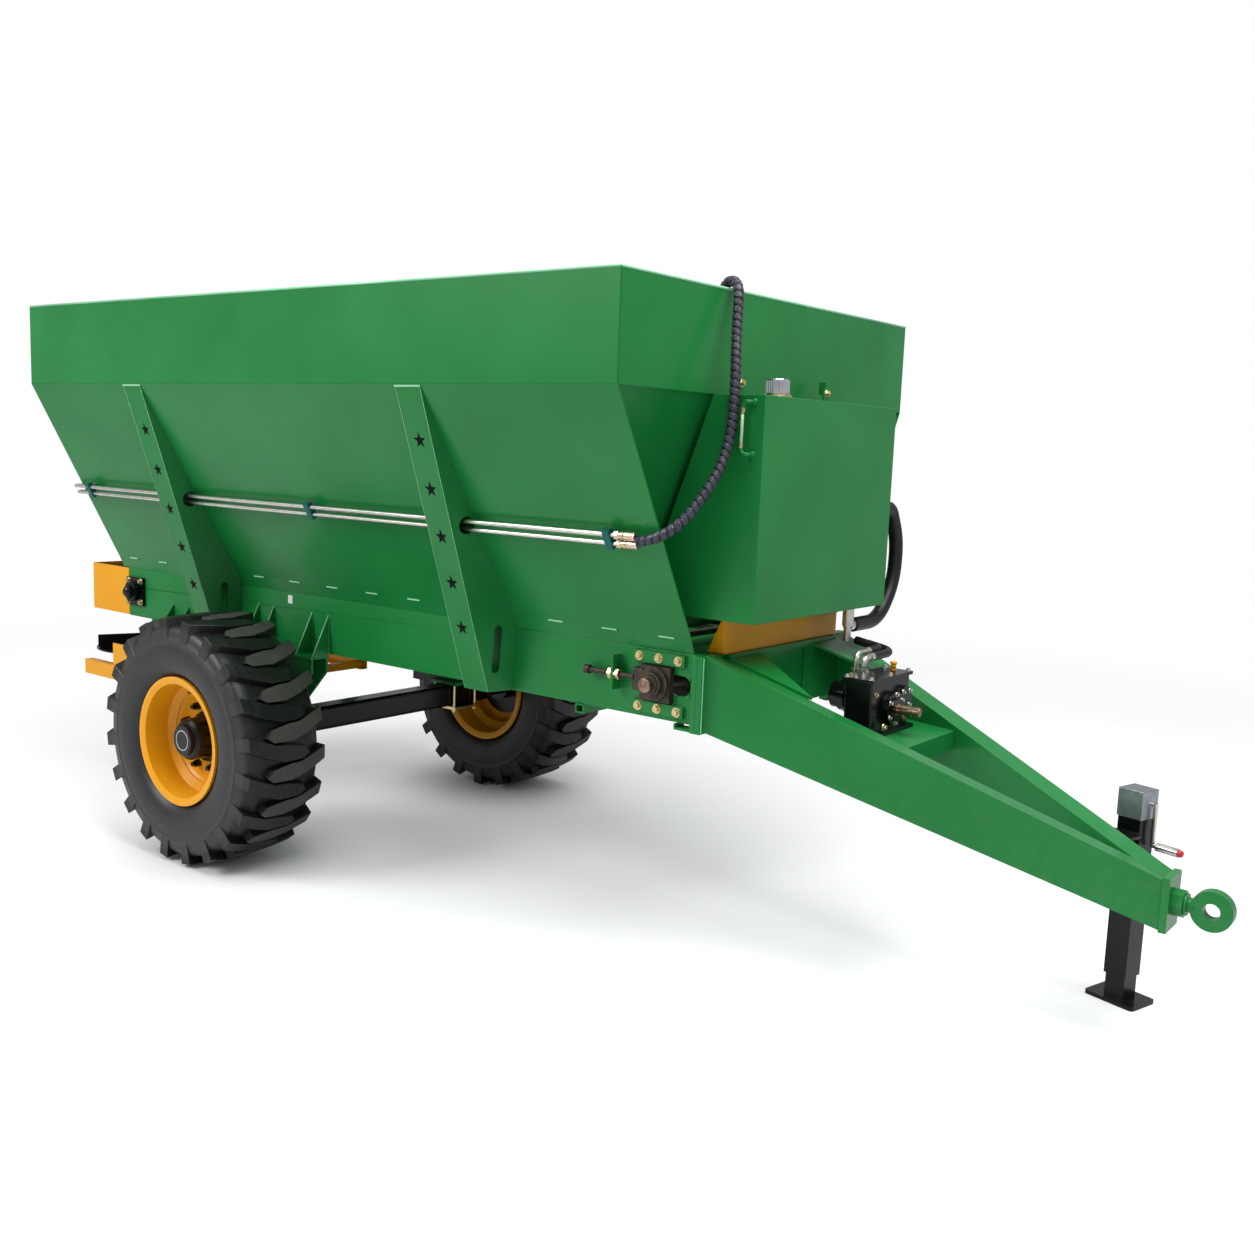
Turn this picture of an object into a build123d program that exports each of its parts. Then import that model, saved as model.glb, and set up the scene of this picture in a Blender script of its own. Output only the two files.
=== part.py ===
"""Trailed manure spreader: hopper on a chassis, two wheels, slatted conveyor, twin spinners.

Millimetres. +X points forward to the drawbar eye, +Y to the left, +Z up, ground at Z = 0.
Pieces are drawn with X = 0 at the axle and moved by x_shift, which centres the machine on X.
"""

import os
from math import atan2, cos, degrees, pi, radians, sin, tan

from build123d import *

# ---- driving dimensions: hopper -------------------------------------------------------------
plate = 6.0
hopper_rear, hopper_front = -1352.0, 2227.0
hopper_half_width = 990.0
hopper_top, band_bottom = 2404.0, 2044.0
slope_bottom, slope_step = 1190.0, 24.0
slope_rear = -1395.0
front_slope_foot = 1908.0
seam_gap = 0.3

# ---- chassis --------------------------------------------------------------------------------
rail_rear, rail_front = -1345.0, 2262.0
rail_face, rail_top, rail_bottom = 497.0, 1137.0, 885.0
rail_web, rail_flange = 8.0, 70.0
end_plate_thickness, end_plate_overhang = 22.0, 32.0
cross_tube = 60.0

# ---- conveyor -------------------------------------------------------------------------------
shaft_z, rear_shaft_x, front_shaft_x = 1018.0, -1271.0, 2080.0
shaft_radius, sprocket_radius = 25.0, 78.0
chain_width, chain_height = 30.0, 22.0
slat_width, slat_height, slat_pitch = 40.0, 20.0, 300.0
slat_clearance, slat_overhang, slat_seat = 9.0, 88.0, 0.2
floor_thickness = 5.0

# ---- side ribs ------------------------------------------------------------------------------
rib_centres = (-491.0, 1274.0)
rib_width, rib_foot_depth = 126.0, 106.0
rib_splay, rib_plate = 0.25, 6.0
star_outer, star_inner, star_count = 27.0, 10.5, 5
star_top, star_pitch = 1844.0, 176.5

# ---- wheels and axle ------------------------------------------------------------------------
tyre_radius, tyre_width, wheel_half_track = 537.5, 396.0, 926.0
rim_radius, rim_width, rim_seat_radius = 278.0, 356.0, 254.0
axle_size = 112.0
shelf_half, shelf_reach, shelf_top = 255.0, 103.0, 880.0
gusset_place, gusset_top = 138.0, 1062.0
stub_radius, hub_reach = 30.0, 150.0
disc_out, disc_thickness, disc_bore, stud_circle = 30.0, 12.0, 110.5, 137.5

# ---- drawbar --------------------------------------------------------------------------------
nose_x, nose_half_width, nose_thickness = 3740.0, 66.0, 24.0
nose_bottom, nose_top = 405.0, 583.0
beam_width, beam_nose_half, beam_foot_bottom = 90.0, 62.0, 867.0
beam_wall = 8.0
eye_x, eye_z, eye_outer, eye_inner, eye_thickness = 3880.0, 495.0, 64.5, 26.0, 42.0
collar_length, collar_radius = 34.0, 46.0

# ---- jack -----------------------------------------------------------------------------------
jack_x, jack_y = 3541.0, 320.0
jack_tube_size, jack_wall, jack_tube_bottom, jack_tube_top = 86.0, 6.0, 92.0, 660.0
jack_cap_top = 760.0
jack_play, foot_length, foot_width, foot_thickness = 0.3, 190.0, 140.0, 14.0

# ---- gearbox and pump -----------------------------------------------------------------------
gearbox_rear, gearbox_front, gearbox_half_width = 2640.0, 2746.0, 150.0
gearbox_bottom, gearbox_top = 870.0, 1066.0
pto_z, pto_radius, pto_end = 960.0, 17.4, 2864.0
pto_journal_radius, pto_boss_reach, bearing_play = 21.0, 34.0, 0.05
pump_y, pump_z, pump_radius = 62.0, 968.0, 50.0

# ---- oil tank -------------------------------------------------------------------------------
tank_front, tank_half_width, tank_top, tank_bottom = 2457.0, 486.0, 2040.0, 1268.0
tank_gap, tank_sheet, filler_bore = 22.0, 4.0, 24.0
support_x, support_half_width, support_thickness = 2292.0, 403.0, 10.0

# ---- spreading gear -------------------------------------------------------------------------
chute_rear, chute_plate = -1690.0, 6.0
chute_top, chute_bottom = 1132.0, 888.0
spinner_x, spinner_y, spinner_z = -1440.0, 300.0, 686.0
spinner_radius, spinner_plate, vane_height = 288.0, 8.0, 70.0
spinner_shaft_radius = 16.0
frame_rear, frame_front, frame_half_width = -1612.0, -755.0, 600.0
frame_top, frame_bottom, frame_channel, upright_top = 630.0, 555.0, 45.0, 745.0

# ---- rear gate ------------------------------------------------------------------------------
gate_inset, gate_bottom, gate_top = 45.0, 1146.0, 1585.0
gate_thickness, gate_travel, gate_clearance = 8.0, 400.0, 5.0
cylinder_x, cylinder_radius, rod_radius = -1428.0, 32.0, 15.0

# ---- side pipes and hose --------------------------------------------------------------------
pipe_radius = 9.0
pipe_upper_z, pipe_upper_out = 1555.0, 39.5492
pipe_lower_z, pipe_lower_out = 1525.0, 40.0246
pipe_front = 2150.0
clamp_places = (-1250.0, 440.0, 2030.0)
hose_radius, hose_diameter = 16.0, 40.0
suction_x, suction_radius = 2425.0, 28.0
suction_loop = ((556.0, 1650.0), (632.0, 1520.0), (625.0, 1350.0), (505.0, 1200.0), (290.0, 1200.0))
pipe_plane = -1404.0
rear_runs = ((-520.0, 2190.0), (-480.0, 1740.0))  # y of the upright run, z of the port
port_face = -62.0
hose_route = (
    (2153.6, -753.0, 1540.0),
    (2290.0, -762.0, 1556.0),
    (2352.0, -602.0, 1752.0),
    (2350.0, -522.0, 1885.0),
    (2352.0, -508.0, 2060.0),
    (2300.0, -440.0, 2250.0),
    (2270.0, -385.0, 2432.0),
    (2170.0, -345.0, 2432.0),
    (2176.0, -335.0, 2282.0),
    (2170.0, -318.0, 2020.0),
    (2052.0, -340.0, 1700.0),
    (1860.0, -285.0, 1159.4),
    (1480.0, -250.0, 1159.4),
    (1180.0, -150.0, 1159.4),
    (900.0, -170.0, 1159.4),
    (690.0, -70.0, 1159.4),
)

# ---- sizes that follow from the driving ones ------------------------------------------------
slope_half_width = rail_face + slope_step
floor_half_width = rail_face - rail_web - seam_gap
slat_half_length = rail_face - rail_flange - slat_clearance
chain_half_spacing = slat_half_length - slat_overhang
gate_half_width = rail_face - gate_inset
rib_foot = rail_face + rib_foot_depth
jack_leg_size = jack_tube_size - 2 * jack_wall - 2 * jack_play
front_end, rear_end = eye_x + eye_outer, spinner_x - spinner_radius
x_shift = -(front_end + rear_end) / 2

parts = {}
hydraulic_motors = []


def block(x, y, z):
    """Box given by its low and high x, y and z."""
    return Pos((x[0] + x[1]) / 2, (y[0] + y[1]) / 2, (z[0] + z[1]) / 2) * Box(
        abs(x[1] - x[0]), abs(y[1] - y[0]), abs(z[1] - z[0])
    )


def rod(start, end, radius):
    """Round bar from one point to another."""
    start, end = Vector(*start), Vector(*end)
    axis = end - start
    return extrude(Plane(origin=start, z_dir=axis) * Circle(radius), axis.length)


def pipe(start, end, radius, bore):
    """Round tube from one point to another."""
    start, end = Vector(*start), Vector(*end)
    axis = end - start
    ring = Circle(radius) - Circle(bore)
    return extrude(Plane(origin=start, z_dir=axis) * ring, axis.length)


def tube(points, radius, most=None):
    """Round bar or hose along straight runs whose corners are rounded, each as far as its runs allow."""
    points = [Vector(*p) for p in points]
    runs = [b - a for a, b in zip(points, points[1:])]
    bends = []
    for a, b in zip(runs, runs[1:]):
        half_turn = radians(a.get_angle(b)) / 2
        bend = 0.45 * min(a.length, b.length) / tan(half_turn)
        bends.append(min(bend, most) if most else bend)
    path = FilletPolyline(*points, radius=bends)
    return sweep(Plane(origin=path @ 0, z_dir=path % 0) * Circle(radius), path)


def prism_x(points_yz, x0, x1):
    """Polygon in the YZ plane pulled from x0 to x1."""
    face = Plane(origin=(x0, 0, 0), x_dir=(0, 1, 0), z_dir=(1, 0, 0)) * Polygon(*points_yz, align=None)
    return extrude(face, x1 - x0, dir=(1, 0, 0))


def prism_y(points_xz, y0, y1):
    """Polygon in the XZ plane pulled from y0 to y1."""
    face = Plane(origin=(0, y0, 0), x_dir=(1, 0, 0), z_dir=(0, -1, 0)) * Polygon(*points_xz, align=None)
    return extrude(face, y1 - y0, dir=(0, 1, 0))


def prism_z(points_xy, z0, z1):
    """Polygon in the XY plane pulled from z0 to z1."""
    return extrude(Pos(0, 0, z0) * Polygon(*points_xy, align=None), z1 - z0, dir=(0, 0, 1))


def across(shape):
    """The same piece on the other side of the machine."""
    return mirror(shape, Plane.XZ)


def keep(name, *shapes):
    """Stores a node, moved to the machine's own origin."""
    solids = [s for shape in shapes for s in shape.solids()]
    moved = [Pos(x_shift, 0, 0) * s for s in solids]
    parts[name] = moved[0] if len(moved) == 1 else Compound(children=moved)


def slope_y(z):
    """Outer half width of the sloping side at a height."""
    share = (band_bottom - z) / (band_bottom - slope_bottom)
    return hopper_half_width - share * (hopper_half_width - slope_half_width)


def front_slope_x(z):
    """Front face of the sloping front panel at a height."""
    share = (band_bottom - z) / (band_bottom - slope_bottom)
    return hopper_front - share * (hopper_front - front_slope_foot)


def beam_y(x):
    """Outer half width of the drawbar at a place along it."""
    share = (x - drawbar_foot) / (nose_x - drawbar_foot)
    return rail_face - share * (rail_face - beam_nose_half)


def beam_top(x):
    """Top of the drawbar beams at a place along it."""
    share = (x - drawbar_foot) / (nose_x - drawbar_foot)
    return rail_top - share * (rail_top - nose_top + 8)


def beam_bottom(x):
    """Underside of the drawbar beams at a place along it."""
    share = (x - drawbar_foot) / (nose_x - drawbar_foot)
    return beam_foot_bottom - share * (beam_foot_bottom - nose_bottom - 6)


pipe_upper = (-slope_y(pipe_upper_z) - pipe_upper_out, pipe_upper_z)
pipe_lower = (-slope_y(pipe_lower_z) - pipe_lower_out, pipe_lower_z)
drawbar_foot = rail_front + end_plate_thickness
beam_turn = atan2(rail_face - beam_nose_half, nose_x - drawbar_foot)


# ---- hopper ---------------------------------------------------------------------------------
def hopper():
    inner_half = hopper_half_width - plate
    side = block((hopper_rear, hopper_front), (-hopper_half_width, -inner_half), (band_bottom, hopper_top))
    keep("hopper_side_board_right", side)
    keep("hopper_side_board_left", across(side))
    front = block(
        (hopper_front - plate, hopper_front),
        (-inner_half + seam_gap, inner_half - seam_gap),
        (band_bottom, hopper_top),
    )
    keep("hopper_front_board", front)

    # A side slope is one folded sheet: the slope, then a steeper strip down to the rail.
    across_slope = plate / cos(atan2(hopper_half_width - slope_half_width, band_bottom - slope_bottom))
    profile = [
        (-hopper_half_width, band_bottom - seam_gap),
        (-slope_half_width, slope_bottom),
        (-rail_face, rail_top + seam_gap),
        (-rail_face + across_slope, rail_top + seam_gap),
        (-slope_half_width + across_slope, slope_bottom),
        (-hopper_half_width + across_slope, band_bottom - seam_gap),
    ]
    sheet = prism_x(profile, slope_rear, hopper_front)
    rear_cut = prism_y(
        [
            (slope_rear - 10, rail_top - 10),
            (slope_rear, rail_top - 10),
            (slope_rear, slope_bottom),
            (hopper_rear, band_bottom),
            (hopper_rear, band_bottom + 10),
            (slope_rear - 10, band_bottom + 10),
        ],
        -hopper_half_width - 10,
        0,
    )
    sheet -= rear_cut
    keep("hopper_side_slope_right", sheet)
    keep("hopper_side_slope_left", across(sheet))

    # The front slope leans back between the two side slopes, clear of them by a weld's gap.
    lean = plate / cos(atan2(hopper_front - front_slope_foot, band_bottom - slope_bottom))
    foot = front_slope_x(rail_top + 20)
    panel = prism_y(
        [
            (hopper_front - plate, band_bottom - seam_gap),
            (foot - plate, rail_top + 20),
            (foot - plate - lean, rail_top + 20),
            (hopper_front - plate - lean, band_bottom - seam_gap),
        ],
        -hopper_half_width,
        hopper_half_width,
    )
    inset = across_slope + seam_gap
    inside = prism_x(
        [
            (-slope_y(band_bottom) + inset, band_bottom),
            (-slope_y(slope_bottom) + inset, slope_bottom),
            (-rail_face + inset, rail_top),
            (rail_face - inset, rail_top),
            (slope_y(slope_bottom) - inset, slope_bottom),
            (slope_y(band_bottom) - inset, band_bottom),
        ],
        hopper_rear - 1,
        hopper_front + 1,
    )
    keep("hopper_front_slope", panel & inside)

    # The upright rear wall carries the gate's guides and has the gate's opening.
    upper = block(
        (hopper_rear, hopper_rear + plate),
        (-inner_half + seam_gap, inner_half - seam_gap),
        (band_bottom, hopper_top),
    )
    lower = block((hopper_rear, hopper_rear + plate), (-hopper_half_width, hopper_half_width), (rail_top + 6, band_bottom))
    wall = upper + (lower & inside)
    opening_half = gate_half_width - 32
    wall -= block((hopper_rear - 1, hopper_rear + plate + 1), (-opening_half, opening_half), (gate_bottom - 10, gate_top - 30))
    guide_depth = gate_thickness + 2 * gate_clearance
    guide_top = gate_top + gate_travel + 20
    web_in = gate_half_width + gate_clearance
    for side_of in (-1, 1):
        web = block(
            (hopper_rear - guide_depth - 5, hopper_rear),
            (side_of * web_in, side_of * (web_in + 6)),
            (gate_bottom, guide_top),
        )
        lip = block(
            (hopper_rear - guide_depth - 5, hopper_rear - guide_depth),
            (side_of * (web_in - 25), side_of * (web_in + 6)),
            (gate_bottom, guide_top),
        )
        wall += web + lip
    bracket_z = hopper_top - 150
    for side_of in (-1, 1):
        wall += block(
            (cylinder_x - 20, hopper_rear),
            (side_of * 14 - 4, side_of * 14 + 4),
            (bracket_z - 25, bracket_z + 25),
        )
    wall += rod((cylinder_x, -18, bracket_z), (cylinder_x, 18, bracket_z), 8)
    keep("hopper_rear_wall", wall)


def rear_gate():
    face = hopper_rear - gate_clearance
    gate = block((face - gate_thickness, face), (-gate_half_width, gate_half_width), (gate_bottom, gate_top))
    for z in (gate_bottom + 60, gate_top - 60):
        gate += block((face - gate_thickness - 20, face - gate_thickness), (-gate_half_width + 40, gate_half_width - 40), (z - 15, z + 15))
    lug_z = gate_bottom + 84
    for side_of in (-1, 1):
        gate += block(
            (cylinder_x - 18, face - gate_thickness),
            (side_of * 22 - 4, side_of * 22 + 4),
            (lug_z - 20, lug_z + 20),
        )
    gate += rod((cylinder_x, -26, lug_z), (cylinder_x, 26, lug_z), 8)
    keep("rear_gate", gate)

    bracket_z = hopper_top - 150
    barrel_bottom, barrel_top = gate_bottom + 84 + gate_travel + 60, bracket_z - 30
    barrel = pipe((cylinder_x, 0, barrel_bottom), (cylinder_x, 0, barrel_top), cylinder_radius, cylinder_radius - 6)
    barrel += pipe((cylinder_x, 0, barrel_bottom), (cylinder_x, 0, barrel_bottom + 30), cylinder_radius + 3, rod_radius + 0.6)
    barrel += rod((cylinder_x, 0, barrel_top - 10), (cylinder_x, 0, barrel_top), cylinder_radius)
    eye = rod((cylinder_x, -9, bracket_z), (cylinder_x, 9, bracket_z), 22)
    eye += block((cylinder_x - 12, cylinder_x + 12), (-9, 9), (barrel_top, bracket_z))
    eye -= rod((cylinder_x, -10, bracket_z), (cylinder_x, 10, bracket_z), 8.05)
    for _, z in rear_runs:
        barrel += block((cylinder_x - 12, pipe_plane + 12), (port_face, -22), (z - 13, z + 13))
    barrel -= rod((cylinder_x, 0, barrel_bottom + 30), (cylinder_x, 0, barrel_top - 10), cylinder_radius - 6)
    keep("gate_cylinder", barrel + eye)

    lug_z = gate_bottom + 84
    ram = rod((cylinder_x, 0, lug_z + 15), (cylinder_x, 0, barrel_bottom + 60), rod_radius)
    ram += rod((cylinder_x, 0, barrel_bottom + 40), (cylinder_x, 0, barrel_bottom + 60), cylinder_radius - 6.6)
    ram += rod((cylinder_x, -11, lug_z), (cylinder_x, 11, lug_z), 20)
    ram -= rod((cylinder_x, -12, lug_z), (cylinder_x, 12, lug_z), 8.05)
    keep("gate_ram", ram)


def star(radius_out, radius_in):
    """Five-pointed star with a point up, in its own XY plane."""
    points = []
    for i in range(10):
        radius = radius_out if i % 2 == 0 else radius_in
        points.append((radius * sin(i * pi / 5), radius * cos(i * pi / 5)))
    return Polygon(*points, align=None)


def ribs():
    """Hollow tapering side ribs with star, slot and pipe openings."""
    foot_z = rail_bottom
    lean = (hopper_half_width - rib_foot) / (band_bottom - foot_z)

    def wedge(inset):
        outer = inset / cos(atan2(lean, 1))
        slope_gap = seam_gap if inset == 0 else -1.0
        # The rib runs out where its face meets the slope.
        slope_lean = (hopper_half_width - slope_half_width) / (band_bottom - slope_bottom)
        apex = band_bottom - (outer + slope_gap) / (slope_lean - lean)
        profile = [
            (-hopper_half_width + outer + (band_bottom - apex) * lean, apex),
            (-hopper_half_width + outer + (band_bottom - foot_z - inset) * lean, foot_z + inset),
            (-rail_face - slope_gap, foot_z + inset),
            (-rail_face - slope_gap, rail_top),
            (-slope_half_width - slope_gap, slope_bottom),
        ]
        # The side plates spread apart as they near the hopper, and follow the lean of the face.
        half = rib_width / 2 - inset
        start_y = -hopper_half_width + (band_bottom - foot_z + 50) * lean
        outline = Polygon(
            (-half + 100 * rib_splay, start_y - 100),
            (half - 100 * rib_splay, start_y - 100),
            (half + 700 * rib_splay, start_y + 700),
            (-half - 700 * rib_splay, start_y + 700),
            align=None,
        )
        rise = Vector(0, -lean, 1)
        spread = extrude(Pos(0, 0, foot_z - 50) * outline, amount=rise.length * 1300, dir=rise)
        return prism_x(profile, -200, 200) & spread

    shell = wedge(0) - wedge(rib_plate)
    turn = atan2(lean, 1)
    for i in range(star_count):
        z = star_top - i * star_pitch
        y = -hopper_half_width + (band_bottom - z) * lean
        place = Plane(origin=(0, y - 5, z), x_dir=(1, 0, 0), z_dir=(0, -cos(turn), -sin(turn)))
        shell -= extrude(place * star(star_outer, star_inner), 20, dir=place.z_dir * -1)
    slot_y, slot_low, slot_high = -rib_foot + 25, 960.0, 1150.0
    for side_of in (-1, 1):
        slot = block((side_of * 40, side_of * 130), (slot_y - 18, slot_y + 18), (slot_low + 18, slot_high - 18))
        slot += rod((side_of * 40, slot_y, slot_low + 18), (side_of * 130, slot_y, slot_low + 18), 18)
        slot += rod((side_of * 40, slot_y, slot_high - 18), (side_of * 130, slot_y, slot_high - 18), 18)
        hole_y, hole_z = (pipe_upper[0] + pipe_lower[0]) / 2, (pipe_upper[1] + pipe_lower[1]) / 2
        hole = rod((side_of * 40, hole_y, hole_z), (side_of * 130, hole_y, hole_z), 34)
        shell -= slot + hole
    both = [Pos(x, 0, 0) * shell for x in rib_centres]
    keep("side_ribs_right", *both)
    keep("side_ribs_left", *[across(b) for b in both])


# ---- chassis --------------------------------------------------------------------------------
def chassis():
    web_in = rail_face - rail_web
    rail = block((rail_rear, rail_front), (-rail_face, -web_in), (rail_bottom, rail_top))
    for z in (rail_bottom, rail_top - rail_web):
        rail += block((rail_rear, rail_front), (-rail_face, -rail_face + rail_flange), (z, z + rail_web))
    # Room for the take-up shaft to travel, and a hole for the rear shaft.
    slot_front, slot_rear, slot_half = 2218.0, 1985.0, 36.0
    cut = block((slot_rear, slot_front - slot_half), (-rail_face - 5, -web_in + 5), (shaft_z - slot_half, shaft_z + slot_half))
    cut += rod((slot_front - slot_half, -rail_face - 5, shaft_z), (slot_front - slot_half, -web_in + 5, shaft_z), slot_half)
    cut += rod((rear_shaft_x, -rail_face - 5, shaft_z), (rear_shaft_x, -web_in + 5, shaft_z), shaft_radius + 6)
    rail -= cut
    # Bolted end plate and the foot lip below it.
    end = block(
        (rail_front - end_plate_thickness, rail_front),
        (-rail_face - end_plate_overhang, -rail_face + 100),
        (rail_bottom - 22, rail_top),
    )
    rail += end
    rail += block((2165.0, rail_front), (-rail_face - 20, -rail_face + 40), (rail_bottom - 22, rail_bottom - 14))
    rail += block((2165.0, 2171.0), (-rail_face - 20, -rail_face + 40), (rail_bottom - 14, rail_bottom))
    # Clamp bars that guide the take-up bearing, and the lug its screw pulls on.
    for z in (shaft_z + 90, shaft_z - 94):
        rail += block((1972.0, 2196.0), (-rail_face - 14, -rail_face), (z - 22, z + 22))
    rail += block((1895.0, 1907.0), (-rail_face - 52, -rail_face), (shaft_z - 46, shaft_z + 82))
    rail -= rod((1890, -rail_face - 30, shaft_z + 12), (1912, -rail_face - 30, shaft_z + 12), 12)
    keep("chassis_rail_right", rail)
    keep("chassis_rail_left", across(rail))

    tubes = []
    reach = web_in - 0.3
    for x in (-1130.0, -560.0, 560.0, 1180.0):
        tube = block((x - 30, x + 30), (-reach, reach), (shaft_z - 66, shaft_z - 66 + cross_tube))
        tubes.append(tube)
    low = block((1697.0, 1739.0), (-rail_face - 6, rail_face + 6), (rail_bottom - 36, rail_bottom - 0.3))
    low -= block((1703.0, 1733.0), (-rail_face - 7, rail_face + 7), (rail_bottom - 30, rail_bottom - 6))
    tubes.append(low)
    keep("chassis_cross_members", *tubes)

    floor = block(
        (rear_shaft_x + 120, front_shaft_x - 120),
        (-floor_half_width, floor_half_width),
        (shaft_z + sprocket_radius - floor_thickness - 1, shaft_z + sprocket_radius - 1),
    )
    for x in (-900.0, -300.0, 300.0, 900.0, 1500.0):
        floor += block((x - 20, x + 20), (-floor_half_width, floor_half_width), (shaft_z + 40, shaft_z + sprocket_radius - floor_thickness - 1))
    keep("conveyor_floor", floor)


def conveyor():
    length = front_shaft_x - rear_shaft_x
    middle = (front_shaft_x + rear_shaft_x) / 2

    def loop(y, inner, outer, width):
        ring = SlotCenterToCenter(length, 2 * outer) - SlotCenterToCenter(length, 2 * inner)
        place = Plane(origin=(middle, y + width / 2, shaft_z), x_dir=(1, 0, 0), z_dir=(0, -1, 0))
        return extrude(place * ring, width)

    inner, outer = sprocket_radius, sprocket_radius + chain_height
    keep("conveyor_chains", *[loop(y, inner, outer, chain_width) for y in (-chain_half_spacing, chain_half_spacing)])
    slats = []
    for low in (shaft_z + outer + slat_seat, shaft_z - outer - slat_seat - slat_height):
        for i in range(int(length // slat_pitch)):
            x = rear_shaft_x + slat_pitch / 2 + i * slat_pitch
            bar_x = (x - slat_width / 2, x + slat_width / 2)
            slats.append(block(bar_x, (-slat_half_length, slat_half_length), (low, low + slat_height)))
    keep("conveyor_slats", *slats)

    # The front shaft carries smooth idlers and turns in the take-up bearings.
    reach = rail_face + 92
    shafts = []
    for x, shaft_reach in ((front_shaft_x, reach), (rear_shaft_x, rail_face + 44)):
        shaft = rod((x, -shaft_reach, shaft_z), (x, shaft_reach, shaft_z), shaft_radius)
        for y in (-chain_half_spacing, chain_half_spacing):
            shaft += rod((x, y - 24, shaft_z), (x, y + 24, shaft_z), sprocket_radius - 18)
            shaft += rod((x, y - 12, shaft_z), (x, y + 12, shaft_z), sprocket_radius - 0.3)
        shafts.append(shaft)
    keep("conveyor_shafts", *shafts)

    # Take-up bearing: a slotted housing between the guide bars, with its adjusting screw.
    bore = shaft_radius + 0.05
    depth = 40.0
    y0 = -rail_face - 0.3
    housing = block((front_shaft_x - 66, front_shaft_x + 66), (y0 - depth + 12, y0), (shaft_z - 66, shaft_z + 62))
    housing += rod((front_shaft_x, y0, shaft_z), (front_shaft_x, y0 - depth, shaft_z), 62)
    housing += rod((front_shaft_x, y0 - depth, shaft_z), (front_shaft_x, y0 - depth - 14, shaft_z), 44)
    housing += block((front_shaft_x - 96, front_shaft_x - 50), (y0 - depth + 6, y0 - 4), (shaft_z - 36, shaft_z + 48))
    housing -= rod((front_shaft_x, y0 + 1, shaft_z), (front_shaft_x, y0 - depth - 20, shaft_z), bore)
    screw_y = -rail_face - 30
    screw = rod((1762.0, screw_y, shaft_z + 12), (front_shaft_x - 90, screw_y, shaft_z + 12), 10)
    screw += rod((1762.0, screw_y, shaft_z + 12), (1784.0, screw_y, shaft_z + 12), 17)
    for x in (1876.0, 1908.0):
        screw += extrude(Plane(origin=(x, screw_y, shaft_z + 12), z_dir=(1, 0, 0)) * RegularPolygon(19, 6), 18)
    bearing = housing + screw
    keep("take_up_bearings", bearing, across(bearing))

    flange = block((rear_shaft_x - 72, rear_shaft_x + 72), (-rail_face - 16.3, -rail_face - 0.3), (shaft_z - 72, shaft_z + 72))
    flange += rod((rear_shaft_x, -rail_face - 10, shaft_z), (rear_shaft_x, -rail_face - 46, shaft_z), 50)
    cap = Pos(rear_shaft_x, -rail_face - 46, shaft_z) * Sphere(34)
    flange += cap & block((rear_shaft_x - 40, rear_shaft_x + 40), (-rail_face - 90, -rail_face - 40), (shaft_z - 40, shaft_z + 40))
    flange -= rod((rear_shaft_x, -rail_face, shaft_z), (rear_shaft_x, -rail_face - 46, shaft_z), bore)
    keep("rear_shaft_bearings", flange, across(flange))

    # Hydraulic motor and reduction gear that turn the conveyor, on the left end of the rear shaft.
    y0 = rail_face + 80
    motor = rod((rear_shaft_x, y0 + 0.3, shaft_z), (rear_shaft_x, y0 + 70, shaft_z), 74)
    motor += block((rear_shaft_x - 54, rear_shaft_x + 54), (y0 + 68, y0 + 120), (shaft_z - 54, shaft_z + 54))
    motor += rod((rear_shaft_x, y0 + 118, shaft_z), (rear_shaft_x, y0 + 190, shaft_z), 44)
    for x in (rear_shaft_x - 18, rear_shaft_x + 18):
        motor += rod((x, y0 + 150, shaft_z + 30), (x, y0 + 150, shaft_z + 62), 11)
    arm = block((rear_shaft_x - 40, rear_shaft_x + 150), (y0 + 6, y0 + 16), (shaft_z - 16, shaft_z + 16))
    arm += block((rear_shaft_x + 134, rear_shaft_x + 150), (rail_face + 0.3, y0 + 16), (shaft_z - 24, shaft_z + 24))
    hydraulic_motors.append(motor + arm)


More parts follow.
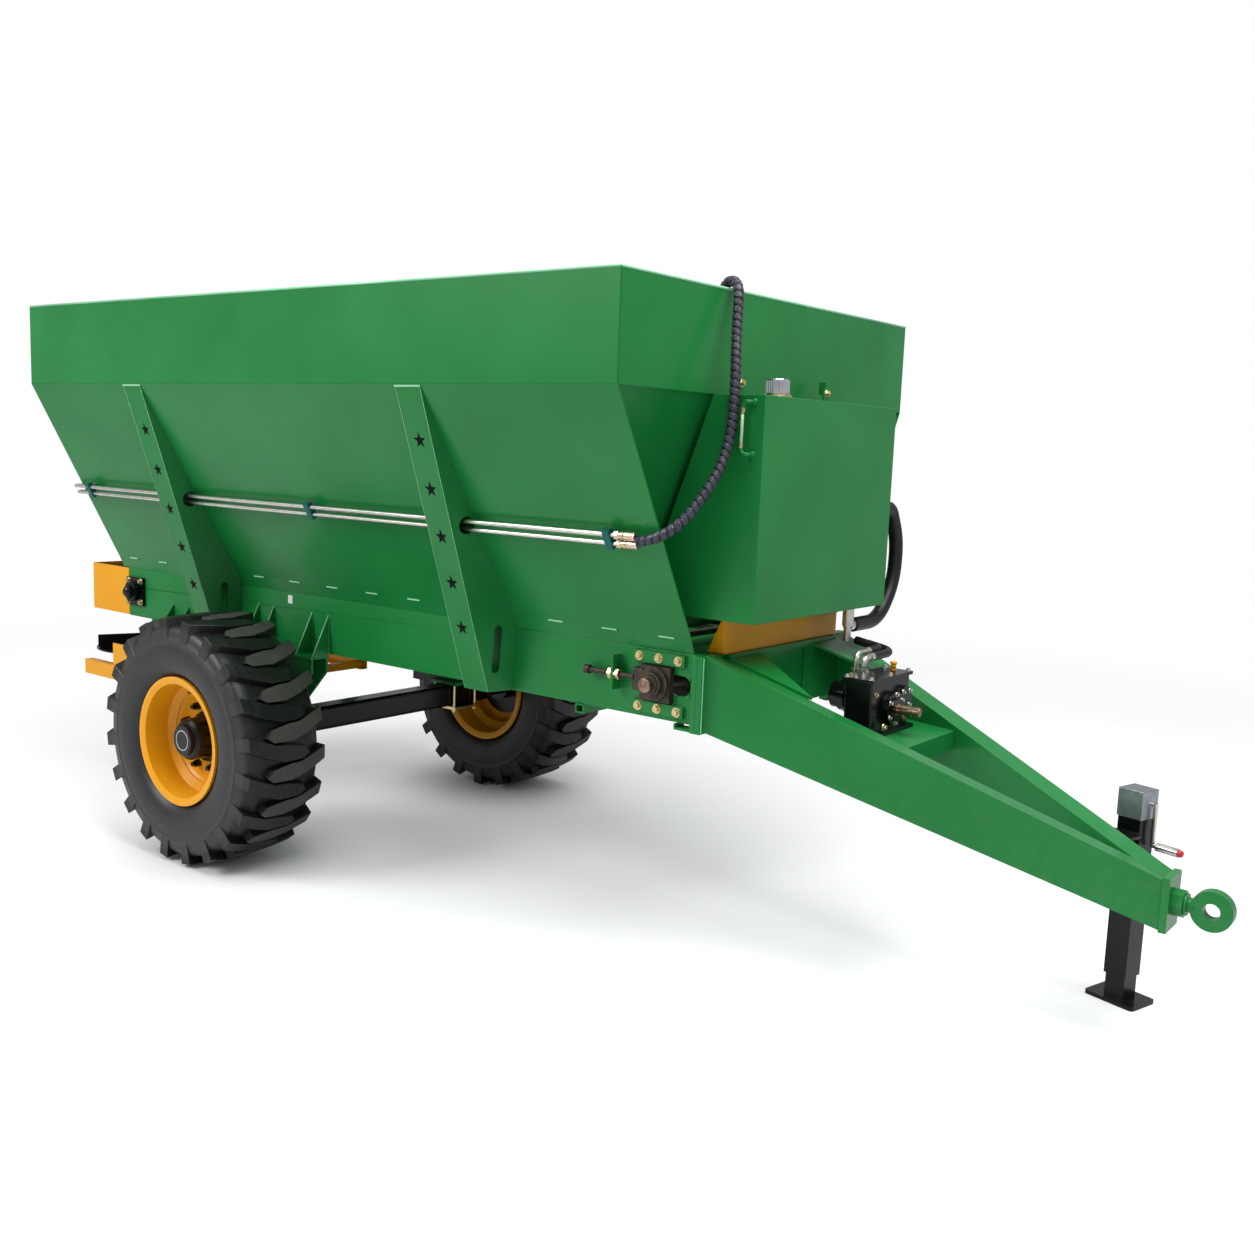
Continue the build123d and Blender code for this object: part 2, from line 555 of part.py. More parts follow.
# ---- spreading gear -------------------------------------------------------------------------
def spreading_gear():
    half = rail_face + 3
    rear, front = chute_rear, rail_rear - 0.3
    walls = block((rear, front), (-half, -half + chute_plate), (chute_bottom, chute_top))
    walls += block((rear, front), (half - chute_plate, half), (chute_bottom, chute_top))
    walls += block((rear, rear + chute_plate), (-half, half), (chute_bottom, chute_top))
    keep("discharge_chute", walls)

    frame_y = frame_half_width
    side = block((frame_rear, frame_front), (-frame_y, -frame_y + 6), (frame_bottom, frame_top))
    for z in (frame_bottom, frame_top - 6):
        side += block((frame_rear, frame_front), (-frame_y, -frame_y + frame_channel), (z, z + 6))
    side += block((-1350.0, -1060.0), (-frame_y + 6, -frame_y + 14), (frame_top - 20, upright_top))
    # Hangers on the rail carry the frame: one on its upright, one on the channel itself.
    rear_hanger = prism_x(
        [
            (-frame_y + 14.3, upright_top - 60),
            (-frame_y + 14.3, upright_top + 6),
            (-rail_face + 6, rail_bottom - 0.3),
            (-rail_face + 66, rail_bottom - 0.3),
            (-rail_face + 66, rail_bottom - 10),
            (-rail_face + 16, rail_bottom - 10),
            (-frame_y + 24.3, upright_top),
            (-frame_y + 24.3, upright_top - 60),
        ],
        -1150.0,
        -1062.0,
    )
    front_x, face = (-952.0, -812.0), -rail_face - 0.3
    shelf_z = rail_bottom + 2
    front_hanger = block(front_x, (-frame_y + 14, face), (shelf_z - 12, shelf_z))
    front_hanger += block(front_x, (-frame_y + 14, -frame_y + 24), (frame_top + 0.3, shelf_z))
    for x in (front_x[0] + 4, front_x[1] - 4):
        front_hanger += prism_x([(face, shelf_z + 98), (face, shelf_z - 1), (-frame_y + 30, shelf_z - 1)], x - 4, x + 4)
    keep("spreader_hangers", rear_hanger, front_hanger, across(rear_hanger), across(front_hanger))

    frame = side + across(side)
    for x in (spinner_x - 50, spinner_x + 50, frame_front - 40):
        frame += block((x - 20, x + 20), (-frame_y + 6, frame_y - 6), (frame_bottom + 6, frame_bottom + 46))
    for side_of in (-1, 1):
        y = side_of * spinner_y
        frame += block((spinner_x - 70, spinner_x + 70), (y - 70, y + 70), (frame_bottom + 46, frame_bottom + 56))
        frame -= rod((spinner_x, y, frame_bottom + 40), (spinner_x, y, frame_bottom + 60), 30)
    keep("spreader_frame", frame)

    deck = frame_bottom + 56
    motors = []
    for side_of in (-1, 1):
        y = side_of * spinner_y
        motor = rod((spinner_x, y, deck + 0.3), (spinner_x, y, deck + 38), 40)
        motor += rod((spinner_x, y, deck - 70), (spinner_x, y, deck + 0.3), 28)
        motor += block((spinner_x - 28, spinner_x + 28), (y - 28, y + 28), (deck - 150, deck - 66))
        motor += rod((spinner_x, y, deck + 38), (spinner_x, y, spinner_z - 4), spinner_shaft_radius)
        motors.append(motor)
    hydraulic_motors.extend(motors)

    for name, side_of in (("spinner_disc_right", -1), ("spinner_disc_left", 1)):
        y = side_of * spinner_y
        low = deck + 43
        disc = rod((spinner_x, y, spinner_z), (spinner_x, y, spinner_z + spinner_plate), spinner_radius)
        disc += rod((spinner_x, y, low), (spinner_x, y, spinner_z), 45)
        disc += Pos(spinner_x, y, spinner_z + spinner_plate) * Cone(70, 20, 60, align=(Align.CENTER, Align.CENTER, Align.MIN))
        for i in range(4):
            vane = block((60, spinner_radius - 4), (-4, 4), (0, vane_height)) + block((60, spinner_radius - 4), (-4, 30), (0, 8))
            disc += Pos(spinner_x, y, spinner_z + spinner_plate) * Rot(0, 0, 90 * i + side_of * 20) * vane
        disc -= rod((spinner_x, y, low - 1), (spinner_x, y, spinner_z - 3), spinner_shaft_radius + bearing_play)
        keep(name, disc)


# ---- axle and wheels ------------------------------------------------------------------------
def axle_and_wheels():
    stub = wheel_half_track - 190
    beam = block((-axle_size / 2, axle_size / 2), (-stub, stub), (tyre_radius - axle_size / 2, tyre_radius + axle_size / 2))
    beam = fillet(beam.edges().filter_by(Axis.Y), 18)
    hub_in = wheel_half_track - 60
    for side_of in (-1, 1):
        beam += rod((0, side_of * (stub - 1), tyre_radius), (0, side_of * (hub_in - 4), tyre_radius), 50)
        beam += rod((0, side_of * (hub_in - 6), tyre_radius), (0, side_of * (hub_in + 60), tyre_radius), stub_radius)
    keep("axle_beam", beam)

    # Shelves on the rails' outer faces carry tapering webs down to the axle's saddles.
    top = tyre_radius + axle_size / 2
    face, shelf_edge = -rail_face - 0.3, -rail_face - shelf_reach
    shelf = block((-shelf_half, shelf_half), (shelf_edge, face), (shelf_top - 14, shelf_top))
    shelf += block((-shelf_half, shelf_half), (face - 8, face), (shelf_top - 14, shelf_top + 40))
    for x in (-shelf_half + 4, -gusset_place, gusset_place, shelf_half - 4):
        shelf += prism_x([(face, gusset_top), (face, shelf_top - 1), (shelf_edge + 12, shelf_top - 1)], x - 4, x + 4)
    web_top, web_drop = shelf_top - 13, 62.0
    web = [
        (-shelf_half, web_top),
        (-shelf_half, web_top - web_drop),
        (-70, top + 16),
        (70, top + 16),
        (shelf_half, web_top - web_drop),
        (shelf_half, web_top),
    ]
    for y in (face - 10, shelf_edge + 10):
        shelf += prism_y(web, y - 5, y + 5)
    saddle_y = (face + shelf_edge) / 2
    shelf += block((-95, 95), (saddle_y - 92, saddle_y + 92), (top + 0.3, top + 18))
    keep("axle_brackets", shelf, across(shelf))

    low = tyre_radius - axle_size / 2
    clamp = block((-92, 92), (saddle_y - 88, saddle_y + 88), (low - 14.3, low - 0.3))
    for y in (saddle_y - 75, saddle_y + 75):
        for x in (-68, 68):
            clamp += rod((x, y, low - 30), (x, y, top - 0.3), 8)
    bolts = [clamp, across(clamp)]
    keep("axle_clamps", *bolts)

    for name, side_of in (("right", -1), ("left", 1)):
        y = side_of * wheel_half_track

        def spun(points):
            """Section of (distance outwards from the wheel's centre plane, radius) turned about the axle."""
            face = Plane.XY * Polygon(*points, align=None)
            solid = revolve(face, Axis.X)
            return Pos(0, y, tyre_radius) * Rot(0, 0, side_of * 90) * solid

        h = tyre_width / 2
        tyre = spun(
            [
                (-h + 8, rim_radius + 34),
                (-h, 400),
                (-h + 4, 470),
                (-h + 34, 522),
                (-h + 90, tyre_radius),
                (h - 90, tyre_radius),
                (h - 34, 522),
                (h - 4, 470),
                (h, 400),
                (h - 8, rim_radius + 34),
                (rim_width / 2 - 14, rim_radius + 6),
                (rim_width / 2 - 18, rim_seat_radius + seam_gap),
                (-rim_width / 2 + 18, rim_seat_radius + seam_gap),
                (-rim_width / 2 + 14, rim_radius + 6),
            ]
        )
        keep(f"tyre_{name}", tyre)

        w = rim_width / 2
        rim = spun(
            [
                (-w, rim_radius),
                (-w + 12, rim_radius),
                (-w + 16, rim_seat_radius),
                (-60, rim_seat_radius - 6),
                (-40, rim_seat_radius - 40),
                (40, rim_seat_radius - 40),
                (60, rim_seat_radius - 6),
                (w - 16, rim_seat_radius),
                (w - 12, rim_radius),
                (w, rim_radius),
                (w, rim_radius - 10),
                (w - 8, rim_seat_radius - 8),
                (66, rim_seat_radius - 15),
                (46, rim_seat_radius - 50),
                (disc_out + 10, rim_seat_radius - 50),
                (disc_out, rim_seat_radius - 62),
                (disc_out, disc_bore),
                (disc_out - disc_thickness, disc_bore),
                (disc_out - disc_thickness, rim_seat_radius - 62),
                (disc_out - disc_thickness - 10, rim_seat_radius - 50),
                (-46, rim_seat_radius - 50),
                (-66, rim_seat_radius - 15),
                (-w + 8, rim_seat_radius - 8),
                (-w, rim_radius - 10),
            ]
        )
        place = Pos(0, y, tyre_radius) * Rot(0, 0, side_of * 90)
        stud_turns = [i * pi / 4 + pi / 8 for i in range(8)]
        for a in stud_turns:
            rim -= place * Pos(disc_out, stud_circle * cos(a), stud_circle * sin(a)) * Rot(0, 90, 0) * Cylinder(10.4, 60)
        keep(f"rim_{name}", rim)

        # Flange behind the disc, barrel through its bore, and a closed cap.
        bore, flange = stub_radius + bearing_play, disc_out - disc_thickness - 0.3
        hub = spun(
            [
                (-60, bore),
                (-60, 78),
                (flange - 22, 78),
                (flange - 22, stud_circle + 22),
                (flange, stud_circle + 22),
                (flange, disc_bore - 3),
                (disc_out + 6, disc_bore - 3),
                (disc_out + 12, 92),
                (hub_reach - 30, 89),
                (hub_reach - 18, 78),
                (hub_reach - 16, 68),
                (hub_reach - 2, 65),
                (hub_reach, 61),
                (hub_reach, 0),
                (hub_reach - 24, 0),
                (hub_reach - 24, bore),
            ]
        )
        for a in stud_turns:
            spot = place * Pos(flange - 1, stud_circle * cos(a), stud_circle * sin(a)) * Rot(0, 90, 0)
            hub += spot * Cylinder(10, 52, align=(Align.CENTER, Align.CENTER, Align.MIN))
            nut = Pos(0, 0, disc_thickness + 1.6) * extrude(RegularPolygon(17, 6), 24)
            hub += spot * nut
        keep(f"hub_{name}", hub)


# ---- drawbar --------------------------------------------------------------------------------
def drawbar():
    direction = Vector(cos(beam_turn), sin(beam_turn), 0)
    foot = Vector(drawbar_foot, -rail_face, 0)
    start = foot - direction * 100
    along = Plane(origin=(start.X, start.Y, 0), x_dir=direction, z_dir=direction.cross(Vector(0, 0, 1)))

    def local(x):
        return (x - drawbar_foot) / cos(beam_turn) + 100

    far = nose_x + 60
    near = drawbar_foot - 60
    side = Polygon(
        (local(near), beam_bottom(near)),
        (local(far), beam_bottom(far)),
        (local(far), beam_top(far)),
        (local(near), beam_top(near)),
        align=None,
    )
    inwards = Vector(-sin(beam_turn), cos(beam_turn), 0)
    beam = extrude(along * side, beam_width, dir=inwards)
    hollow = extrude(along * offset(side, -beam_wall), beam_width - 2 * beam_wall, dir=inwards)
    beam -= Pos(inwards * beam_wall) * hollow & block((drawbar_foot + beam_wall, nose_x + 90), (-2000, 2000), (0, 2000))
    beam &= block((drawbar_foot, nose_x), (-rail_face - 5, -0.15), (0, 2000))
    mounting = block(
        (rail_front + 0.3, drawbar_foot),
        (-rail_face - end_plate_overhang, -rail_face + 110),
        (rail_bottom - 22, rail_top),
    )
    keep("drawbar_beam_right", beam + mounting)
    keep("drawbar_beam_left", across(beam + mounting))

    # Cross beam between the rails' ends, with a recessed panel in its front face.
    reach = rail_face - 110 - 0.3
    cross = block((drawbar_foot - 22, drawbar_foot + 26), (-reach, reach), (900.0, rail_top))
    cross -= block((drawbar_foot + 20, drawbar_foot + 30), (-130, 130), (948.0, 1112.0))
    for side_of in (-1, 1):
        inner_foot = side_of * (rail_face - beam_width / cos(beam_turn) - 1)
        tip_x = drawbar_foot + 330
        tip_y = side_of * (beam_y(tip_x) - beam_width / cos(beam_turn) - 1)
        flat = [
            (drawbar_foot + 26, inner_foot * 0.98),
            (drawbar_foot + 26, side_of * 190),
            (tip_x, tip_y - side_of * 4),
            (tip_x, tip_y),
        ]
        drop = (beam_top(tip_x) - beam_top(drawbar_foot)) / (tip_x - drawbar_foot)
        gusset = prism_z(flat, 0, 10)
        gusset = Pos(drawbar_foot + 26, 0, beam_top(drawbar_foot + 26) - 12) * Rot(0, degrees(atan2(-drop, 1)), 0) * Pos(-drawbar_foot - 26, 0, 0) * gusset
        cross += gusset
    keep("drawbar_cross_beam", cross)

    nose = block((nose_x + 0.3, nose_x + nose_thickness), (-nose_half_width, nose_half_width), (nose_bottom, nose_top))
    collar_end = nose_x + nose_thickness + collar_length
    face = Plane(origin=(nose_x + nose_thickness, 0, eye_z), z_dir=(1, 0, 0))
    nose += extrude(face * RegularPolygon(collar_radius, 8), collar_length)
    nose -= rod((nose_x - 1, 0, eye_z), (collar_end + 1, 0, eye_z), 24.0)
    keep("drawbar_nose", nose)

    # The eye swivels on its shank; a nut behind the nose plate holds it in.
    ring = extrude(Plane(origin=(eye_x, eye_thickness / 2, eye_z), x_dir=(1, 0, 0), z_dir=(0, -1, 0)) * Circle(eye_outer), eye_thickness)
    shank = rod((nose_x + 2, 0, eye_z), (eye_x - eye_outer + 12, 0, eye_z), 23.9)
    shank += rod((collar_end + 1.0, 0, eye_z), (collar_end + 9, 0, eye_z), 36)
    eye = ring + shank
    eye -= rod((eye_x, -eye_thickness, eye_z), (eye_x, eye_thickness, eye_z), eye_inner)
    keep("tow_eye", eye)


def jack():
    turn = degrees(-beam_turn)
    place = Pos(jack_x, jack_y, 0) * Rot(0, 0, turn)
    s = jack_tube_size / 2
    tube = block((-s, s), (-s, s), (jack_tube_bottom, jack_tube_top))
    tube -= block((-s + jack_wall, s - jack_wall), (-s + jack_wall, s - jack_wall), (jack_tube_bottom - 1, jack_tube_top - 20))
    # The bracket reaches back to the beam's side.
    gap = (jack_y - beam_y(jack_x)) * cos(beam_turn) - s - 0.3
    for z in (beam_bottom(jack_x) + 45, beam_top(jack_x) - 45):
        tube += block((-55, 55), (-s - gap, -s), (z - 6, z + 6))
    tube += block((-70, 70), (-s - gap, -s - gap + 10), (beam_bottom(jack_x) + 22, beam_top(jack_x) - 22))
    keep("jack_tube", place * tube)

    c = s + 4
    cap = block((-c, c), (-c, c), (jack_tube_top + 0.3, jack_cap_top))
    keep("jack_cap", place * cap)

    leg_half = jack_leg_size / 2
    leg = block((-leg_half, leg_half), (-leg_half, leg_half), (foot_thickness, jack_tube_top - 120))
    foot = block((-foot_length / 2, foot_length / 2), (-foot_width / 2, foot_width / 2), (0, foot_thickness))
    foot = fillet(foot.edges().filter_by(Axis.Z), 14)
    keep("jack_leg", place * (leg + foot))

    crank = rod((c - 1, 12, jack_tube_top + 50), (c + 14, 12, jack_tube_top + 50), 9)
    crank += rod((c + 14, 12, jack_tube_top + 59), (c + 14, 12, jack_tube_top - 90), 8)
    crank += rod((c + 6, 12, jack_tube_top - 90), (c + 32, 12, jack_tube_top - 90), 8)
    crank += rod((c + 32, 12, jack_tube_top - 90), (c + 112, 12, jack_tube_top - 90), 15)
    crank = crank - block((-c, c), (-c, c), (jack_tube_top + 0.3, jack_cap_top))
    keep("jack_crank", place * Pos(0.3, 0, 0) * crank)


# ---- drive and hydraulics -------------------------------------------------------------------
def drive():
    x0, x1, half = gearbox_rear, gearbox_front, gearbox_half_width
    case = block((x0, x1), (-half, half), (gearbox_bottom, gearbox_top))
    case = fillet(case.edges().filter_by(Axis.Z), 8)
    case += block((x0 - 8, x1 + 8), (-half - 8, half + 8), (gearbox_top, gearbox_top + 12))
    case += block((x0 - 20, x1 + 20), (-half - 14, half + 14), (gearbox_bottom, gearbox_bottom + 14))
    case += rod((x1 - 1, 0, pto_z), (x1 + 24, 0, pto_z), 62)
    case += rod((x1 + 20, 0, pto_z), (x1 + pto_boss_reach, 0, pto_z), 40)
    case += rod((x1 - 1, 92, pto_z + 26), (x1 + 18, 92, pto_z + 26), 46)
    case -= rod((x1 - 30, 0, pto_z), (x1 + pto_boss_reach + 1, 0, pto_z), pto_journal_radius + bearing_play)
    keep("gearbox", case)

    # The splined end stands free of the boss; the journal behind it is thicker.
    shaft = rod((x1 - 28, 0, pto_z), (x1 + pto_boss_reach, 0, pto_z), pto_journal_radius)
    shaft += rod((x1 + pto_boss_reach, 0, pto_z), (pto_end, 0, pto_z), pto_radius)
    keep("pto_shaft", shaft)

    pump = rod((x0 - 26, pump_y, pump_z), (x0 - 0.3, pump_y, pump_z), 58)
    pump += rod((x0 - 150, pump_y, pump_z), (x0 - 24, pump_y, pump_z), pump_radius)
    pump += rod((x0 - 118, pump_y, pump_z), (x0 - 88, pump_y, pump_z), 58)
    for x in (x0 - 40, x0 - 72):
        pump += rod((x, pump_y, pump_z), (x, pump_y, pump_z + 86), 15)
    keep("hydraulic_pump", pump)

    # Steel elbows rise from the ports and turn to the far side, where hoses take over.
    fittings, hoses = [], []
    for x, y_end, rise, reach in (
        (x0 - 40, pump_y + 70, 60.0, 170.0),
        (x0 - 72, pump_y + 100, 74.0, 100.0),
    ):
        port, top = pump_z + 86.3, pump_z + 86.3 + rise
        bend = tube([(x, pump_y, port), (x, pump_y, top), (x, y_end, top)], 11.0, most=30.0)
        bend += rod((x, pump_y, port), (x, pump_y, port + 20), 15)
        bend += rod((x, y_end - 24, top), (x, y_end, top), 15)
        fittings.append(bend)
        turn_y = y_end + reach
        line = [(x, y_end + 0.3, top), (x, turn_y, top), (x - 130, turn_y + 50, top + 10)]
        hoses.append(tube(line, hose_radius))

    # The suction hose hangs in a loop off the tank's far end and comes back under it.
    loop = [(suction_x, tank_half_width + 0.3, 1650.0)] + [(suction_x, y, z) for y, z in suction_loop]
    end_y, end_z = suction_loop[-1]
    hoses.append(tube(loop, suction_radius))
    elbow = rod((suction_x, end_y - 36, end_z), (suction_x, end_y - 36, tank_bottom - 0.3), 22)
    elbow += rod((suction_x, end_y - 36, end_z), (suction_x, end_y - 0.3, end_z), 22)
    elbow += rod((suction_x, end_y - 36, end_z - 60), (suction_x, end_y - 36, end_z), 15)
    fittings.append(elbow)
    keep("hydraulic_fittings", *fittings)
    keep("hydraulic_hoses", *hoses)

    wall = beam_width / cos(beam_turn) + 0.3
    mount_rear, mount_front = x0 - 40, 2905.0
    top = gearbox_bottom - 0.3

    def between(xa, xb, z0, z1):
        ya, yb = beam_y(xa) - wall, beam_y(xb) - wall
        return prism_z([(xa, -ya), (xb, -yb), (xb, yb), (xa, ya)], z0, z1)

    mount = between(mount_rear, mount_front, top - 10, top)
    mount += between(mount_front - 10, mount_front, top - 70, top)
    mount += between(mount_rear, mount_rear + 10, top - 70, top)
    keep("gearbox_mount", mount)


def tank():
    rear_top = hopper_front + tank_gap
    lean = (hopper_front - front_slope_foot) / (band_bottom - slope_bottom)
    half = tank_half_width

    def wedge(inset):
        """The tank's outline, or its hollow when inset by the sheet."""
        rear_inset = inset / cos(atan2(lean, 1))
        high, low = tank_top - inset, tank_bottom + inset
        outline = [
            (tank_front - inset, high),
            (tank_front - inset, low),
            (rear_top + rear_inset - (tank_top - low) * lean, low),
            (rear_top + rear_inset - inset * lean, high),
        ]
        return prism_y(outline, inset - half, half - inset)

    body = wedge(0) - wedge(tank_sheet)
    body -= rod((2400.0, -320, tank_top - 20), (2400.0, -320, tank_top + 20), filler_bore)
    keep("oil_tank", body)
    cap = rod((2400.0, -320, tank_top + 0.3), (2400.0, -320, tank_top + 12), 30)
    cap += rod((2400.0, -320, tank_top + 12), (2400.0, -320, tank_top + 62), 44)
    keep("filler_cap", cap)

    y = -half - 0.3
    gauge_x, low, high = 2392.0, 1842.0, 2016.0
    gauge = rod((gauge_x, y - 30, low + 26), (gauge_x, y - 30, high - 26), 7)
    for z, step in ((low, 26), (high, -26)):
        gauge += rod((gauge_x + 26, y, z), (gauge_x + 26, y - 30, z), 6)
        gauge += rod((gauge_x + 28, y - 30, z), (gauge_x - 6, y - 30, z), 6)
        gauge += rod((gauge_x, y - 30, z - (6 if step > 0 else -6)), (gauge_x, y - 30, z + step * 1.4), 9)
    keep("sight_gauge", gauge)

    h = support_half_width
    base, top = rail_top + 10, tank_bottom - 0.3
    stand = block((support_x - support_thickness, support_x), (-h, h), (rail_top + 0.3, top))
    stand += block((support_x - 60, support_x), (-h, h), (rail_top + 0.3, base))
    for side_of in (-1, 1):
        stand += prism_y(
            [(support_x - 70, base - 5), (support_x, base - 5), (support_x, top), (support_x - 12, top)],
            side_of * h - 5,
            side_of * h + 5,
        )
    keep("tank_support", stand)


def side_pipes():
    pipes = []
    for (y, z), (rear_y, rear_z) in zip((pipe_upper, pipe_lower), rear_runs):
        route = [
            (pipe_front, y, z),
            (pipe_plane, y, z),
            (pipe_plane, rear_y, z),
            (pipe_plane, rear_y, rear_z),
            (pipe_plane, port_face - 0.3, rear_z),
        ]
        line = tube(route, pipe_radius, most=40.0)
        line += rod((pipe_front - 44, y, z), (pipe_front, y, z), 15)
        line += rod((pipe_plane, port_face - 30, rear_z), (pipe_plane, port_face - 0.3, rear_z), 14)
        pipes.append(line)
    keep("side_pipes", *pipes)

    clamps = []
    middle_y, middle_z = (pipe_upper[0] + pipe_lower[0]) / 2, (pipe_upper[1] + pipe_lower[1]) / 2
    tilt = degrees(atan2(pipe_lower[0] - pipe_upper[0], pipe_upper[1] - pipe_lower[1]))
    for x in clamp_places:
        clamp = Box(30, 26, 74)
        clamp += Pos(0, 22.1, 0) * Box(26, 24.2, 20)
        clamp = Pos(x, middle_y, middle_z) * Rot(tilt, 0, 0) * clamp
        for y, z in (pipe_upper, pipe_lower):
            clamp -= rod((x - 20, y, z), (x + 20, y, z), pipe_radius + 0.3)
        clamps.append(clamp)
    rear_z = rear_runs[1][1] - 90
    rear = block((pipe_plane - 13, hopper_rear - 0.3), (rear_runs[0][0] - 14, rear_runs[1][0] + 14), (rear_z - 15, rear_z + 15))
    for y, _ in rear_runs:
        rear -= rod((pipe_plane, y, rear_z - 16), (pipe_plane, y, rear_z + 16), pipe_radius + 0.3)
    clamps.append(rear)
    keep("pipe_clamps", *clamps)


def hopper_hose():
    """Wrapped pair of hoses to the tractor, parked over the front edge and along the conveyor."""
    hose = tube(hose_route, hose_diameter / 2)
    keep("hopper_hose", hose)
    end, before = Vector(*hose_route[-1]), Vector(*hose_route[-2])
    turn = degrees(atan2(end.Y - before.Y, end.X - before.X))
    sleeve = Rot(0, 90, 0) * Cylinder(20.5, 46, align=(Align.CENTER, Align.CENTER, Align.MIN))
    couplers = Pos(0.3, 0, 0) * sleeve
    for y in (-16, 16):
        couplers += Pos(40, y, -6) * Rot(0, 90, 0) * Cylinder(9, 40, align=(Align.CENTER, Align.CENTER, Align.MIN))
        couplers += Pos(70, y, -6) * Rot(0, 90, 0) * Cylinder(14, 66, align=(Align.CENTER, Align.CENTER, Align.MIN))
        couplers += Pos(135, y, -6) * Rot(0, 90, 0) * Cylinder(10, 22, align=(Align.CENTER, Align.CENTER, Align.MIN))
    keep("hose_couplers", Pos(*end) * Rot(0, 0, turn) * couplers)


hopper()
rear_gate()
ribs()
chassis()
conveyor()
spreading_gear()
axle_and_wheels()
drawbar()
jack()
drive()
tank()
side_pipes()
hopper_hose()
keep("hydraulic_motors", *hydraulic_motors)

os.makedirs("parts", exist_ok=True)
for node, shape in parts.items():
    export_step(shape, f"parts/{node}.step")
print(len(parts), "nodes, x_shift", x_shift)
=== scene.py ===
# %% [markdown]
# A trailed manure spreader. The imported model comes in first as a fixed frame: it has the true
# sizes and the moving bodies. This script only adds what the frame leaves plain: finishes, the
# tyres' lugs, welds, bolts, the wrapped hose and small fittings.

# %% Load the frame
from math import atan2, cos, hypot, pi, radians, sin

import bmesh
import bpy
from mathutils import Matrix, Vector
from mathutils.kdtree import KDTree


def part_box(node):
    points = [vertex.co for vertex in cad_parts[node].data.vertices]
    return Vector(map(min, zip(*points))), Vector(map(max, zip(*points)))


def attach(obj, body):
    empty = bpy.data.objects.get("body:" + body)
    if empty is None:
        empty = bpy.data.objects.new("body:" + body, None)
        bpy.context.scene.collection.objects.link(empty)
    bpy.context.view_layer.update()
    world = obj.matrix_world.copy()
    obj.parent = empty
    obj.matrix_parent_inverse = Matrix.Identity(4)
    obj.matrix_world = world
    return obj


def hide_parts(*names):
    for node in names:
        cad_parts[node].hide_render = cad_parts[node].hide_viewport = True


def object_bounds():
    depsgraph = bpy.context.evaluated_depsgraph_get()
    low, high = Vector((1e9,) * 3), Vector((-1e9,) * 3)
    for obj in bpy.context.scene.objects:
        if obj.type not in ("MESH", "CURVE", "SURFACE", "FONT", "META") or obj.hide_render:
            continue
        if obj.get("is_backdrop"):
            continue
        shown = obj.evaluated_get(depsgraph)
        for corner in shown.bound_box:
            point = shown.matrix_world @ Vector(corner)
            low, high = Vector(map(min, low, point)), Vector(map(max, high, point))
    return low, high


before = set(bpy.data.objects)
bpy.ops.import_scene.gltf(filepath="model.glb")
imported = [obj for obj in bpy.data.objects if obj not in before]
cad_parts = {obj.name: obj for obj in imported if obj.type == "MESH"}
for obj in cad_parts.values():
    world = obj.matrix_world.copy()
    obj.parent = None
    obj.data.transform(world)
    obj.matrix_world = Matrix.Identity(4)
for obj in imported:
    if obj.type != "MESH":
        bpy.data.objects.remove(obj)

cad_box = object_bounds()

# %% [markdown]
# Every place below is given in millimetres from the middle of the axle, on the ground, because
# that is how the machine is drawn. One function turns such a place into the frame's metres.
# The axle's own place is read from the right tyre's box.

# %% Places
MM = 0.001
low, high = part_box("tyre_right")
axle_x = (low[0] + high[0]) / 2
wheel_z = (low[2] + high[2]) / 2
wheel_y = abs(low[1] + high[1]) / 2


def at(x, y, z):
    """A place in millimetres from the axle's middle, as a point of the frame in metres."""
    return Vector((x * MM + axle_x, y * MM, z * MM))


print("axle at", round(axle_x, 4), "wheel centre", round(wheel_y, 4), round(wheel_z, 4))

# %% [markdown]
# The camera stands at the front right of the machine, a little above its rails, and looks back
# along it. A lens of about 37 mm on a 36 mm sensor gives the mild convergence of a view taken
# from some seven metres. The camera is set from its heading, dip and roll, so that the whole
# machine lies in the frame with no lens shift.

# %% Camera
CAMERA_PLACE = (4736.0, -4162.2, 1849.8)
LENS_MM, SENSOR_MM = 36.719, 36.0
heading, dip, roll = radians(127.485), radians(-7.99), radians(2.2225)
ahead = Vector((cos(heading) * cos(dip), sin(heading) * cos(dip), sin(dip)))
level_right = ahead.cross(Vector((0, 0, 1))).normalized()
level_up = level_right.cross(ahead)
right = level_right * cos(roll) + level_up * sin(roll)
up = level_up * cos(roll) - level_right * sin(roll)
lens_data = bpy.data.cameras.new("camera")
lens_data.lens, lens_data.sensor_width = LENS_MM, SENSOR_MM
camera = bpy.data.objects.new("camera", lens_data)
aim = Matrix((right, up, -ahead)).transposed().to_4x4()
camera.matrix_world = Matrix.Translation(at(*CAMERA_PLACE)) @ aim
bpy.context.scene.collection.objects.link(camera)
bpy.context.scene.camera = camera
bpy.context.scene.view_settings.view_transform = "Standard"
print("camera at", [round(v, 3) for v in camera.location])

# %% [markdown]
# A finish starts from a colour as a painter would name it, an sRGB hex value. Shaders count in
# linear light, so one function converts it. One more function adds any shader node with its
# settings and its links, and every finish below is built with it.

# %% Colour and node helpers
def linear(code):
    """sRGB hex to the linear colour that shaders use."""
    values = [int(code[i : i + 2], 16) / 255 for i in (0, 2, 4)]
    return [v / 12.92 if v <= 0.04045 else ((v + 0.055) / 1.055) ** 2.4 for v in values] + [1.0]


